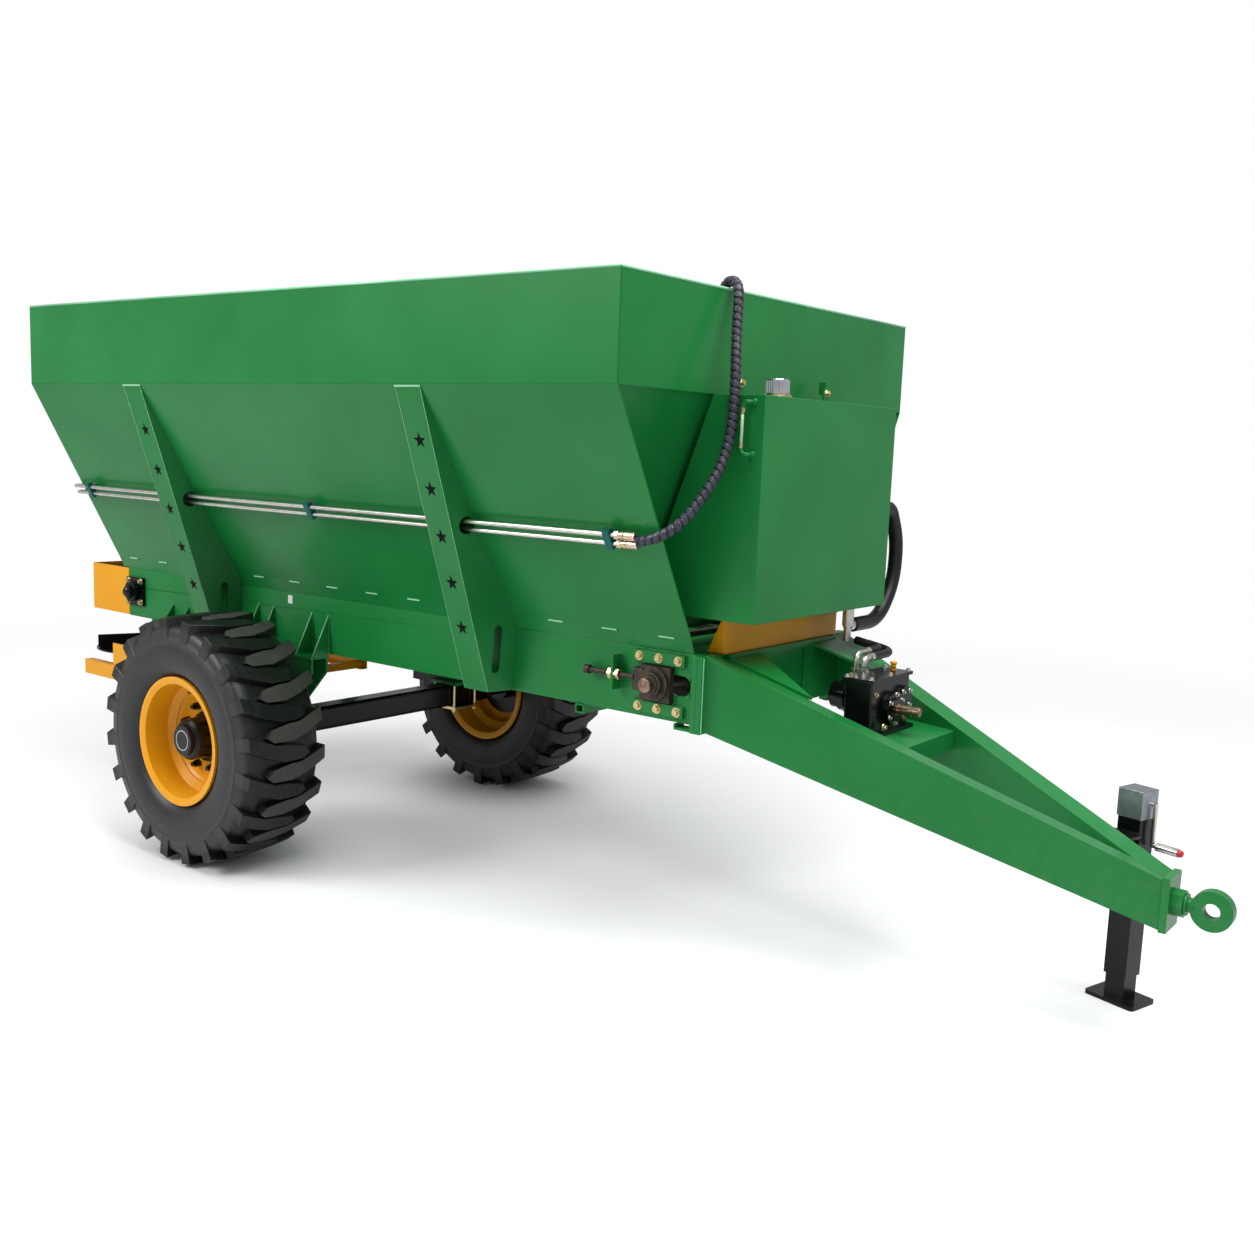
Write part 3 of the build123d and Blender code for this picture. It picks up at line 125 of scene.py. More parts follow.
def add(tree, kind, settings=None, inputs=None):
    """Adds a shader node; an input that is a socket becomes a link, any other a value."""
    node = tree.nodes.new(kind)
    for key, value in (settings or {}).items():
        setattr(node, key, value)
    for key, value in (inputs or {}).items():
        if isinstance(value, bpy.types.NodeSocket):
            tree.links.new(value, node.inputs[key])
        else:
            node.inputs[key].default_value = value
    return node


def blank(name):
    """A new material's tree with its Object coordinates."""
    material = bpy.data.materials.new(name)
    material.use_nodes = True
    material.node_tree.nodes.clear()
    return material, material.node_tree, add(material.node_tree, "ShaderNodeTexCoord").outputs["Object"]


def close(tree, shader):
    """Joins the shader to the material's output."""
    add(tree, "ShaderNodeOutputMaterial", inputs={"Surface": shader})


MIX_A, MIX_B, MIX_OUT = 6, 7, 2


def blended(tree, factor, first, second):
    """Colour between two colours or sockets."""
    node = add(
        tree,
        "ShaderNodeMix",
        {"data_type": "RGBA"},
        {0: factor, MIX_A: first, MIX_B: second},
    )
    return node.outputs[MIX_OUT]


def patches(tree, place, size_mm, low_edge=0.35, high_edge=0.7, detail=4.0):
    """0 to 1 cloud pattern whose patches are about size_mm wide."""
    cloud = add(
        tree, "ShaderNodeTexNoise", inputs={"Vector": place, "Scale": 1000.0 / size_mm, "Detail": detail}
    )
    span = add(
        tree,
        "ShaderNodeMapRange",
        inputs={"Value": cloud.outputs[0], "From Min": low_edge, "From Max": high_edge},
    )
    return span.outputs[0]


def relief(tree, pattern, depth_mm, strength=1.0):
    """Bump from a 0 to 1 pattern that is depth_mm deep."""
    node = add(
        tree,
        "ShaderNodeBump",
        inputs={"Strength": strength, "Distance": depth_mm * MM, "Height": pattern},
    )
    return node.outputs[0]


# %% [markdown]
# Sprayed two-pack enamel over welded sheet: even in colour, satin, and with a faint orange-peel
# that breaks up the reflections. Patches half a metre wide drift a little lighter, as a sprayed
# tank does, and a thin haze of dust lies low down. The three sprayed colours differ only in hue
# and gloss, so one recipe makes them all. The pale green is the same green lightened, a painted
# highlight on the ripples of welds, on edges and on the hopper's rim. The painted-shade black for
# the star holes and the teal plastic of the clamps have no gloss coat.

# %% Sprayed enamel
def enamel(name, deep, fresh, roughness, coat, dust_hex="8f8a78", dust_top=0.9, dust=0.1):
    material, tree, place = blank(name)
    drift = patches(tree, place, 520, 0.3, 0.75, 2.0)
    colour = blended(tree, drift, linear(deep), linear(fresh))
    height = add(tree, "ShaderNodeSeparateXYZ", inputs={0: place}).outputs[2]
    lowness = add(
        tree,
        "ShaderNodeMapRange",
        inputs={"Value": height, "From Min": dust_top, "From Max": 0.2, "To Max": dust},
    ).outputs[0]
    specks = patches(tree, place, 35, 0.45, 0.75, 6.0)
    haze = add(tree, "ShaderNodeMath", {"operation": "MULTIPLY"}, {0: lowness, 1: specks}).outputs[0]
    colour = blended(tree, haze, colour, linear(dust_hex))
    peel = patches(tree, place, 6, 0.2, 0.8, 1.0)
    gloss = add(
        tree,
        "ShaderNodeMapRange",
        inputs={"Value": patches(tree, place, 700), "To Min": roughness, "To Max": roughness + 0.05},
    ).outputs[0]
    shader = add(
        tree,
        "ShaderNodeBsdfPrincipled",
        inputs={
            "Base Color": colour,
            "Roughness": gloss,
            "Specular IOR Level": 0.22,
            "Coat Weight": coat,
            "Coat Roughness": 0.18,
            "Normal": relief(tree, peel, 0.05, 0.35),
        },
    )
    close(tree, shader.outputs[0])
    return material


green_enamel = enamel("green_enamel", "0e6e2f", "1c7b3a", 0.32, 0.15)
# A lighter copy of the green: painted highlight on welds, edges and the rim.
painted_highlight_green = enamel("pale_green_painted_highlight", "6fb487", "a6dcb8", 0.3, 0.2)
yellow_enamel = enamel("yellow_enamel", "db9409", "e6a016", 0.32, 0.1)
black_enamel = enamel("black_enamel", "040506", "08090a", 0.24, 0.15, "4b4842", 0.9, 0.05)
# Painted shade: a black for the sheets that stand in for the shade inside the star holes.
shade_paint_black = enamel("black_painted_shade", "010101", "020202", 0.9, 0.0, dust=0.0)
teal_polymer = enamel("teal_polymer_clamp", "0f4c45", "1c665c", 0.45, 0.0)
print("enamels made")

# %% [markdown]
# Tyre rubber is carbon black: dark, matt, with dust ground into its sidewalls. It turns browner
# towards the tread, where the wheel has rolled, and nearly black between the lugs, where no light
# gets in. A shallow unevenness from the mould breaks up its shine. Hose rubber is the same recipe,
# blacker and cleaner.

# %% Rubbers
TREAD_STARTS, TREAD_FULL = 370 * MM, 440 * MM
GROOVE_STARTS, GROOVE_FULL = 478 * MM, 498 * MM


def distance_from_axle(tree, place):
    """Distance of a place from the axle's line."""
    arm = add(
        tree, "ShaderNodeVectorMath", {"operation": "SUBTRACT"}, {0: place, 1: (axle_x, 0, wheel_z)}
    )
    flat = add(tree, "ShaderNodeVectorMath", {"operation": "MULTIPLY"}, {0: arm.outputs[0], 1: (1, 0, 1)})
    reach = add(tree, "ShaderNodeVectorMath", {"operation": "LENGTH"}, {0: flat.outputs[0]})
    return reach.outputs["Value"]


def ramp(tree, value, start, end):
    """0 to 1 between two values."""
    node = add(tree, "ShaderNodeMapRange", inputs={"Value": value, "From Min": start, "From Max": end})
    return node.outputs[0]


def rubber(name, deep, worn, dust, dust_share, roughness, grain_mm, tread_hex=None):
    material, tree, place = blank(name)
    colour = blended(tree, patches(tree, place, 90, 0.3, 0.7), linear(deep), linear(worn))
    if tread_hex:
        reach = distance_from_axle(tree, place)
        colour = blended(tree, ramp(tree, reach, TREAD_STARTS, TREAD_FULL), colour, linear(tread_hex))
        # Painted shade: nearly black between the lugs, where no light gets in.
        colour = blended(tree, ramp(tree, reach, GROOVE_STARTS, GROOVE_FULL), colour, linear("0c0d0e"))
    dusty = add(
        tree,
        "ShaderNodeMath",
        {"operation": "MULTIPLY"},
        {0: patches(tree, place, 40, 0.4, 0.8, 8.0), 1: dust_share},
    ).outputs[0]
    colour = blended(tree, dusty, colour, linear(dust))
    shader = add(
        tree,
        "ShaderNodeBsdfPrincipled",
        inputs={
            "Base Color": colour,
            "Roughness": roughness,
            "Specular IOR Level": 0.4,
            "Normal": relief(tree, patches(tree, place, grain_mm, 0.2, 0.8, 3.0), 0.3, 0.5),
        },
    )
    close(tree, shader.outputs[0])
    return material


tyre_rubber = rubber("tyre_rubber", "17191b", "1f2123", "38352f", 0.3, 0.42, 60, tread_hex="2b2824")
lug_rubber = rubber("worn_lug_rubber", "373735", "403f3c", "565148", 0.35, 0.6, 14)
hose_wrap = rubber("spiral_hose_wrap", "2c2b37", "363545", "55545f", 0.3, 0.34, 14)
hose_rubber = rubber("hydraulic_hose_rubber", "08090a", "0e0f11", "24231f", 0.2, 0.45, 8)
print("rubbers made")

# %% [markdown]
# Bare metals. Drawn and turned steel is grey with fine lines along it, zinc plate with yellow
# passivation is pale gold, the chrome cap is a clean mirror, and the cast housings carry a sandy
# skin with soil in its hollows. Metals keep their default IOR; only colour and roughness change.
# The gauge's tube is clear plastic in front of pale oil, which reads as one pale glossy green.

# %% Metals
def metal(name, base, second, roughness, patch_mm, depth_mm, grime="3a342b", grime_share=0.0):
    material, tree, place = blank(name)
    colour = blended(tree, patches(tree, place, patch_mm), linear(base), linear(second))
    soil = add(
        tree,
        "ShaderNodeMath",
        {"operation": "MULTIPLY"},
        {0: patches(tree, place, 22, 0.45, 0.7, 8.0), 1: grime_share},
    ).outputs[0]
    colour = blended(tree, soil, colour, linear(grime))
    shader = add(
        tree,
        "ShaderNodeBsdfPrincipled",
        inputs={
            "Base Color": colour,
            "Metallic": 1.0,
            "Roughness": roughness,
            "Normal": relief(tree, patches(tree, place, patch_mm / 3, 0.2, 0.8), depth_mm, 0.4),
        },
    )
    close(tree, shader.outputs[0])
    return material


bright_steel = metal("drawn_steel", "e2dfd8", "cfccc4", 0.28, 40, 0.02, grime_share=0.05)
zinc_plate = metal("bright_zinc_plate", "a9adb2", "94989d", 0.42, 30, 0.04)
worn_steel = metal("worn_conveyor_steel", "7d7771", "5f5851", 0.5, 30, 0.2, "4a3a2a", 0.5)
spline_steel = metal("oiled_spline_steel", "a58c76", "7d6756", 0.36, 14, 0.1, grime_share=0.25)
chrome = metal("bright_chrome", "dcdfe2", "cfd3d6", 0.1, 60, 0.01)
gold_zinc = metal("yellow_passivated_zinc", "dfcf9f", "cbb57f", 0.28, 8, 0.04)
pale_brass = metal("pale_brass_plate", "dcc7ae", "c8ae92", 0.26, 8, 0.03)
cast_iron = metal("sandy_cast_iron", "57504a", "3f3a36", 0.62, 7, 0.3, "6b5c47", 0.5)


def sight_tube():
    """Clear plastic with pale oil in it."""
    material, tree, place = blank("oil_sight_tube")
    colour = blended(tree, patches(tree, place, 30), linear("b5cda6"), linear("9cbb8e"))
    shader = add(
        tree,
        "ShaderNodeBsdfPrincipled",
        inputs={"Base Color": colour, "Roughness": 0.15, "Coat Weight": 0.6},
    )
    close(tree, shader.outputs[0])
    return material


sight_plastic = sight_tube()
print("metals made")

# %% [markdown]
# The carried-over nodes take their finishes here, node by node. The sheet-metal nodes also get a
# narrow bevel, because a folded or welded edge is never knife sharp and its thin highlight is what
# tells the eye that the sheet is steel. The node's triangles are welded first, so that the bevel
# meets whole edges.

# %% Finishes for the nodes
finishes = {
    yellow_enamel: ("rim_left", "rim_right", "discharge_chute", "spreader_frame", "tank_support"),
    black_enamel: (
        "hub_left",
        "hub_right",
        "axle_beam",
        "jack_tube",
        "jack_leg",
        "gearbox",
        "hydraulic_pump",
        "rear_shaft_bearings",
        "hydraulic_motors",
        "spinner_disc_left",
        "spinner_disc_right",
    ),
    bright_steel: ("gate_ram", "side_pipes", "hydraulic_fittings", "hose_couplers", "jack_crank"),
    worn_steel: ("conveyor_shafts", "conveyor_chains", "conveyor_slats"),
    spline_steel: ("pto_shaft",),
    zinc_plate: ("jack_cap",),
    chrome: ("filler_cap",),
    cast_iron: ("take_up_bearings",),
    gold_zinc: ("axle_clamps",),
    sight_plastic: ("sight_gauge",),
    teal_polymer: ("pipe_clamps",),
    hose_rubber: ("hydraulic_hoses", "hopper_hose"),
    tyre_rubber: ("tyre_left", "tyre_right"),
}
finish_of = {node: material for material, nodes in finishes.items() for node in nodes}
for name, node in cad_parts.items():
    node.data.materials.clear()
    node.data.materials.append(finish_of.get(name, green_enamel))

WELD_REACH, BEVEL_ANGLE = 0.05 * MM, radians(40)
softened = {
    2.5: (
        "hopper_side_board_left",
        "hopper_side_board_right",
        "hopper_front_board",
        "chassis_rail_left",
        "chassis_rail_right",
        "discharge_chute",
        "oil_tank",
        "spreader_frame",
        "tank_support",
    ),
    7.0: ("drawbar_beam_left", "drawbar_beam_right"),
    2.0: ("gearbox", "jack_cap", "jack_tube", "axle_brackets", "spreader_hangers", "gearbox_mount"),
}
for width_mm, nodes in softened.items():
    for name in nodes:
        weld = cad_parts[name].modifiers.new("weld", "WELD")
        weld.merge_threshold = WELD_REACH
        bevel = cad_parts[name].modifiers.new("bevel", "BEVEL")
        bevel.width = width_mm * MM
        bevel.segments = 3
        bevel.limit_method = "ANGLE"
        bevel.angle_limit = BEVEL_ANGLE
        bevel.harden_normals = False
print("finishes set on", len(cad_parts), "nodes")

# %% [markdown]
# The hose to the tractor is a pair of hydraulic hoses in a plastic spiral wrap, 37 mm across in
# all and a little over three and a half metres long. It leaves the ends of the two side pipes,
# climbs past the tank, goes over the hopper's front edge and is parked along the conveyor. A smooth
# curve through its route gives its line, and points 4 mm apart on it carry the rings of its tube.

# %% Hopper hose
HOSE_ROUTE = (
    (2153.6, -753.0, 1540.0),
    (2290.0, -762.0, 1556.0),
    (2352.0, -602.0, 1752.0),
    (2350.0, -522.0, 1885.0),
    (2352.0, -508.0, 2060.0),
    (2300.0, -440.0, 2250.0),
    (2270.0, -385.0, 2432.0),
    (2170.0, -345.0, 2432.0),
    (2176.0, -335.0, 2282.0),
    (2170.0, -318.0, 2020.0),
    (2052.0, -340.0, 1700.0),
    (1860.0, -285.0, 1159.4),
    (1480.0, -250.0, 1159.4),
    (1180.0, -150.0, 1159.4),
    (900.0, -170.0, 1159.4),
    (690.0, -70.0, 1159.4),
)
HOSE_RADIUS, HOSE_STEP, HOSE_SIDES = 18.6, 4.0, 18


def smooth_line(name, points):
    """Points along the smooth curve that a route of places gives."""
    data = bpy.data.curves.new(name, "CURVE")
    data.dimensions = "3D"
    spline = data.splines.new("NURBS")
    spline.points.add(len(points) - 1)
    for control, place in zip(spline.points, points):
        control.co = (*place, 1.0)
    spline.order_u = 3
    spline.use_endpoint_u = True
    spline.resolution_u = 24
    guide = bpy.data.objects.new(name, data)
    mesh = bpy.data.meshes.new_from_object(guide)
    line = [v.co.copy() for v in mesh.vertices]
    bpy.data.objects.remove(guide)
    bpy.data.meshes.remove(mesh)
    return line


def evenly(line, step):
    """The same line with its points a step apart."""
    out, carry = [line[0].copy()], 0.0
    for a, b in zip(line, line[1:]):
        length = (b - a).length
        while carry + length >= step:
            a = a + (b - a) * ((step - carry) / length)
            length = (b - a).length
            carry = 0.0
            out.append(a.copy())
        carry += length
    if (out[-1] - line[-1]).length > step / 4:
        out.append(line[-1].copy())
    return out


hose_line = evenly(smooth_line("hose_guide", [at(*p) for p in HOSE_ROUTE]), HOSE_STEP * MM)

# %% [markdown]
# Every added piece is drawn as a bmesh, then shown: it gets its object, its materials and the body
# it rides on. A tube along a line serves for the hose, for bent rods and for welds: a function
# gives its radius from the distance along the line and the turn round it.

# %% Helpers that finish a piece
def show(name, bm, materials, body, smooth=True):
    """Makes the bmesh a piece that rides on a body."""
    mesh = bpy.data.meshes.new(name)
    bm.to_mesh(mesh)
    bm.free()
    piece = bpy.data.objects.new(name, mesh)
    bpy.context.scene.collection.objects.link(piece)
    for material in materials if isinstance(materials, (list, tuple)) else [materials]:
        mesh.materials.append(material)
    for polygon in mesh.polygons:
        polygon.use_smooth = smooth
    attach(piece, body)
    return piece


def ring_frame(line, i, previous):
    """Direction and two cross directions at a point of a line, turning as little as possible."""
    ahead = (line[min(i + 1, len(line) - 1)] - line[max(i - 1, 0)]).normalized()
    side = previous - ahead * previous.dot(ahead)
    side.normalize()
    return ahead, side, ahead.cross(side)


def hose_mesh(bm, line, radius_at, sides):
    """Tube along a line; radius_at gives the radius from the distance along and the turn round."""
    side = (line[1] - line[0]).orthogonal()
    rings, along = [], 0.0
    for i, point in enumerate(line):
        if i:
            along += (point - line[i - 1]).length
        ahead, side, other = ring_frame(line, i, side)
        ring = []
        for k in range(sides):
            turn = 2 * pi * k / sides
            spoke = side * cos(turn) + other * sin(turn)
            ring.append(bm.verts.new(point + spoke * radius_at(along, turn)))
        loop = [bm.edges.new((ring[k], ring[(k + 1) % sides])) for k in range(sides)]
        if rings:
            bmesh.ops.bridge_loops(bm, edges=rings[-1] + loop)
        rings.append(loop)
    for loop in (rings[0], rings[-1]):
        bmesh.ops.holes_fill(bm, edges=loop, sides=0)
    bmesh.ops.recalc_face_normals(bm, faces=bm.faces)


# %% [markdown]
# The wrap is a plastic strip wound round the hoses. It stands proud for four fifths of each turn,
# so the tube's radius rises and falls as a helix, and where the strip leaves a gap the black hose
# behind it shows: those faces take the hose's rubber.

# %% Wrapped hose
WRAP_PITCH, WRAP_DEPTH = 27.0, 3.4
STRIP_SHARE, SLOPE_SHARE, GAP_DEPTH_SHARE = 0.8, 0.08, 0.55


def wrap_radius(along, turn):
    """The wrap's strip stands proud for four fifths of each pitch."""
    share = (along / (WRAP_PITCH * MM) + turn / (2 * pi)) % 1.0
    rise = min(1.0, max(0.0, min(share, STRIP_SHARE - share) / SLOPE_SHARE))
    return (HOSE_RADIUS - WRAP_DEPTH * (1 - rise)) * MM


bm = bmesh.new()
hose_mesh(bm, hose_line, wrap_radius, HOSE_SIDES)
centres = KDTree(len(hose_line))
for i, point in enumerate(hose_line):
    centres.insert(point, i)
centres.balance()
for face in bm.faces:
    depth = HOSE_RADIUS * MM - centres.find(face.calc_center_median())[2]
    face.material_index = 1 if depth > GAP_DEPTH_SHARE * WRAP_DEPTH * MM else 0
hopper_hose = show(
    "hopper_hose_wrapped", bm, [hose_wrap, hose_rubber], "chassis", smooth=False
)
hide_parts("hopper_hose")
print("hose faces", len(hopper_hose.data.polygons))

# %% [markdown]
# The tyres are farm tyres of about 1075 mm, with long lugs from each shoulder that bend once and
# run past the middle, the left ones between the right ones. The carcass is one section spun round
# the axle. One lug is drawn flat, pulled up, wrapped round the wheel and copied by a spin. Its worn
# top is lighter than its sides. The section's points are (half width, radius) from the bead to the
# tread's middle, and the lug's are (across, round) from its heel on the shoulder, in millimetres.

# %% Tyre section and lugs
LUG_COUNT, CARCASS_STEPS = 20, 120
TYRE_RADIUS, SHOULDER_RADIUS = 537.0, 441
SHOULDER, CROWN_DROP, LUG_ROOT = 192.0, 9, 5
TOP_SHRINK, TOP_INSET, TOP_SLOPE = 0.9, 4, 0.75
CARCASS = (
    (158, 255),
    (162, 283),
    (171, 291),
    (181, 303),
    (190, 324),
    (195, 352),
    (197, 384),
    (196.5, 408),
    (194, 424),
    (195.5, 428),
    (195.5, 434),
    (190, 441),
    (186, 462),
    (181, 482),
    (168, 495),
    (120, 502),
    (0, 506),
)
LUG_PLAN = (
    (192, 110),
    (192, 44),
    (100, 0),
    (24, -24),
    (-76, -20),
    (-106, 6),
    (-84, 40),
    (14, 58),
    (70, 61),
    (112, 78),
)
LUG_CUTS = (160, 120, 70, 24, -30)
LUG_TIP, LUG_BEND, LUG_HEEL = (-110, 0), (15, 17), (192, 76)


def carcass_radius(u):
    """Radius of the carcass under the tread, or down the sidewall past the shoulder."""
    u = min(abs(u), SHOULDER)
    outer = [(a, r) for a, r in CARCASS if r >= SHOULDER_RADIUS]
    for (a0, r0), (a1, r1) in zip(outer, outer[1:]):
        if a1 <= u <= a0:
            return r0 + (r1 - r0) * (a0 - u) / (a0 - a1)
    return SHOULDER_RADIUS


def lug_middle(u):
    """Where the lug's middle line runs round the tyre, for a place across it."""
    start, end = (LUG_BEND, LUG_HEEL) if u > LUG_BEND[0] else (LUG_TIP, LUG_BEND)
    return start[1] + (u - start[0]) * (end[1] - start[1]) / (end[0] - start[0])


def rounded(bm, edges, width_mm, segments=2):
    """Bevels the edges."""
    bmesh.ops.bevel(
        bm,
        geom=list(edges),
        offset=width_mm * MM,
        offset_type="OFFSET",
        segments=segments,
        profile=0.5,
        affect="EDGES",
        material=-1,
    )


def spin_copies(bm, count):
    """Copies everything evenly round the axle."""
    bmesh.ops.spin(
        bm,
        geom=bm.verts[:] + bm.edges[:] + bm.faces[:],
        cent=(0, 0, 0),
        axis=(0, 1, 0),
        dvec=(0, 0, 0),
        angle=2 * pi * (count - 1) / count,
        steps=count - 1,
        use_duplicate=True,
    )


def lug(flip, offset):
    """One lug as its own bmesh, wrapped on the tyre; flip is -1 for the lugs of the other side."""
    bm = bmesh.new()
    face = bm.faces.new([bm.verts.new((u, c, 0)) for u, c in LUG_PLAN])
    top = bmesh.ops.extrude_face_region(bm, geom=[face])
    for v in (g for g in top["geom"] if isinstance(g, bmesh.types.BMVert)):
        v.co.z = 1.0
        v.co.y = lug_middle(v.co.x) + (v.co.y - lug_middle(v.co.x)) * TOP_SHRINK
        v.co.x -= TOP_INSET if v.co.x > 0 else -TOP_INSET
    for cut in LUG_CUTS:
        bmesh.ops.bisect_plane(
            bm, geom=bm.verts[:] + bm.edges[:] + bm.faces[:], plane_co=(cut, 0, 0), plane_no=(1, 0, 0)
        )
    for v in bm.verts:
        u, c, height = v.co
        crown = TYRE_RADIUS - CROWN_DROP * (abs(u) / SHOULDER) ** 3
        base = carcass_radius(u) - LUG_ROOT
        radius = base + (crown - base) * height
        turn = c / TYRE_RADIUS + offset
        v.co = (radius * cos(turn) * MM, -flip * u * MM, radius * sin(turn) * MM)
    bmesh.ops.recalc_face_normals(bm, faces=bm.faces)
    rims = [e for e in bm.edges if len(e.link_faces) == 2 and e.calc_face_angle() > radians(50)]
    rounded(bm, rims, 2.0, 1)
    for face in bm.faces:
        middle = face.calc_center_median()
        outwards = Vector((middle.x, 0, middle.z)).normalized()
        face.material_index = 0 if face.normal.dot(outwards) > TOP_SLOPE else 1
    spin_copies(bm, LUG_COUNT)
    return bm


def tyre(side_name, outward):
    """Carcass and lugs of one tyre, placed on its axle."""
    whole = bmesh.new()
    section = list(CARCASS) + [(-a, r) for a, r in reversed(CARCASS[:-1])]
    verts = [whole.verts.new((0, a * MM, r * MM)) for a, r in section]
    edges = [whole.edges.new(pair) for pair in zip(verts, verts[1:] + verts[:1])]
    bmesh.ops.spin(
        whole,
        geom=verts + edges,
        cent=(0, 0, 0),
        axis=(0, 1, 0),
        dvec=(0, 0, 0),
        angle=2 * pi,
        steps=CARCASS_STEPS,
        use_merge=True,
    )
    bmesh.ops.remove_doubles(whole, verts=whole.verts, dist=1e-6)
    bmesh.ops.recalc_face_normals(whole, faces=whole.faces)
    for face in whole.faces:
        face.smooth = True
    centre = Matrix.Translation((axle_x, outward * wheel_y, wheel_z))
    whole.transform(centre)
    carcass = show(f"tyre_carcass_{side_name}", whole, tyre_rubber, f"wheel_{side_name}")
    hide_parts(f"tyre_{side_name}")
    for row, flip in (("outer", -outward), ("inner", outward)):
        offset = 0.0 if row == "outer" else pi / LUG_COUNT
        lugs = lug(flip, offset)
        lugs.transform(centre)
        show(
            f"tyre_lugs_{row}_{side_name}",
            lugs,
            [lug_rubber, tyre_rubber],
            f"wheel_{side_name}",
            smooth=False,
        )
    return carcass


for side_name, outward in (("right", -1), ("left", 1)):
    made = tyre(side_name, outward)
    print(made.name, len(made.data.polygons), "faces")

# %% [markdown]
# Bolts. A hexagon head on a washer is small, but the rows of them on the guide bars, bearing and
# gearbox are what give a machine its scale. Each group is one piece: a head is a six-sided
# cylinder with its top edge bevelled, set on a thin round washer and turned to face outwards.

# %% Bolts
HEX_RADIUS = 0.577
WASHER_THICK, WASHER_LIFT, HEAD_LIFT = 2.4, 0.9, 2.0


def turned_to(normal):
    """Rotation that stands +Z along a direction."""
    return Vector((0, 0, 1)).rotation_difference(Vector(normal)).to_matrix().to_4x4()


def bolt(bm, place, normal, flats=17.0, height=9.0, washer=True):
    """Adds one bolt head at a place in millimetres."""
    here = Matrix.Translation(at(*place)) @ turned_to(normal)
    if washer:
        bmesh.ops.create_cone(
            bm,
            cap_ends=True,
            segments=20,
            radius1=flats * 0.85 * MM,
            radius2=flats * 0.8 * MM,
            depth=WASHER_THICK * MM,
            matrix=here @ Matrix.Translation((0, 0, WASHER_LIFT * MM)),
        )
    lift = HEAD_LIFT if washer else 0.0
    head = bmesh.ops.create_cone(
        bm,
        cap_ends=True,
        segments=6,
        radius1=flats * HEX_RADIUS * MM,
        radius2=flats * HEX_RADIUS * MM,
        depth=height * MM,
        matrix=here @ Matrix.Translation((0, 0, (lift + height / 2) * MM)),
    )
    top = here @ Vector((0, 0, (lift + height) * MM))
    facing = Vector(normal).normalized()
    edges = {
        e
        for v in head["verts"]
        for e in v.link_edges
        if all(abs((w.co - top).dot(facing)) < 1e-5 for w in e.verts)
    }
    rounded(bm, edges, flats * 0.07)


def bolts(name, material, body, entries):
    """One piece of bolts: entries are (place, normal, flats, height)."""
    bm = bmesh.new()
    for place, normal, flats, height in entries:
        bolt(bm, place, normal, flats, height)
    show(name, bm, material, body, smooth=False)
    print(name, len(entries), "bolts")


RIGHT, LEFT, FORWARD, UP = (0, -1, 0), (0, 1, 0), (1, 0, 0), (0, 0, 1)
BAR_FACE, BEARING_FACE, RAIL_FACE = 511.0, 513.3, 497.0
REAR_SHAFT_X, SHAFT_Z = -1271.0, 1018.0
rail_bolts = []
for side, normal in ((-1, RIGHT), (1, LEFT)):
    for x in (1998.0, 2084.0, 2170.0):
        for z in (1108.0, 924.0):
            rail_bolts.append(((x, side * BAR_FACE, z), normal, 22.0, 12.0))
    for dx in (-54.0, 54.0):
        for dz in (-54.0, 54.0):
            spot = (REAR_SHAFT_X + dx, side * BEARING_FACE, SHAFT_Z + dz)
            rail_bolts.append((spot, normal, 19.0, 11.0))
    rail_bolts.append(((-988.0, side * RAIL_FACE, 914.0), normal, 20.0, 12.0))
bolts("zinc_bolts_rails", gold_zinc, "chassis", rail_bolts)

GEARBOX_TOP, GEARBOX_FRONT, PTO_HEIGHT = 1078.0, 2746.0, 960.0
SHAFT_RING, SIDE_RING = 52, 37
SIDE_RING_Y, SIDE_RING_Z = 92, PTO_HEIGHT + 26
box_bolts = [((x, y, GEARBOX_TOP), UP, 13.0, 8.0) for x in (2646.0, 2740.0) for y in (-146.0, 0.0, 146.0)]
for k in range(6):
    turn = radians(30 + 60 * k)
    spot = (GEARBOX_FRONT + 24, SHAFT_RING * cos(turn), PTO_HEIGHT + SHAFT_RING * sin(turn))
    box_bolts.append((spot, FORWARD, 11.0, 7.0))
for k in range(4):
    turn = radians(45 + 90 * k)
    spot = (GEARBOX_FRONT + 18, SIDE_RING_Y + SIDE_RING * cos(turn), SIDE_RING_Z + SIDE_RING * sin(turn))
    # A bolt that would stand on the shaft's own ring is left out.
    if hypot(spot[1], spot[2] - PTO_HEIGHT) > 70:
        box_bolts.append((spot, FORWARD, 11.0, 7.0))
bolts("bright_bolts_gearbox", bright_steel, "chassis", box_bolts)

# %% [markdown]
# Round rods, nipples and nuts come back again and again on the tank, pump and pipes. One helper
# stands a cylinder, cone or hexagon between two places; small radii get few sides.

# %% Turned parts
def turned(bm, start, end, radius, end_radius=None, sides=20, soften=0.0):
    """Adds a cylinder or cone between two places in millimetres; six sides make a hexagon."""
    a, b = at(*start), at(*end)
    axis = b - a
    made = bmesh.ops.create_cone(
        bm,
        cap_ends=True,
        segments=sides,
        radius1=radius * MM,
        radius2=(radius if end_radius is None else end_radius) * MM,
        depth=axis.length,
        matrix=Matrix.Translation((a + b) / 2) @ turned_to(axis),
    )
    if soften:
        edges = {e for v in made["verts"] for e in v.link_edges}
        rounded(bm, {e for e in edges if e.calc_face_angle(0) > radians(60)}, soften)


def bar(bm, start, end, width, height):
    """Adds a rectangular bar between two places."""
    a, b = at(*start), at(*end)
    axis = b - a
    size = Matrix.Diagonal((width * MM, height * MM, axis.length, 1.0))
    bmesh.ops.create_cube(bm, size=1.0, matrix=Matrix.Translation((a + b) / 2) @ turned_to(axis) @ size)


def bent_rod(bm, places, radius_mm, sides=12):
    """Adds a smooth bent rod through places in millimetres."""
    line = smooth_line("rod_guide", [at(*p) for p in places])
    hose_mesh(bm, line, lambda along, turn: radius_mm * MM, sides)


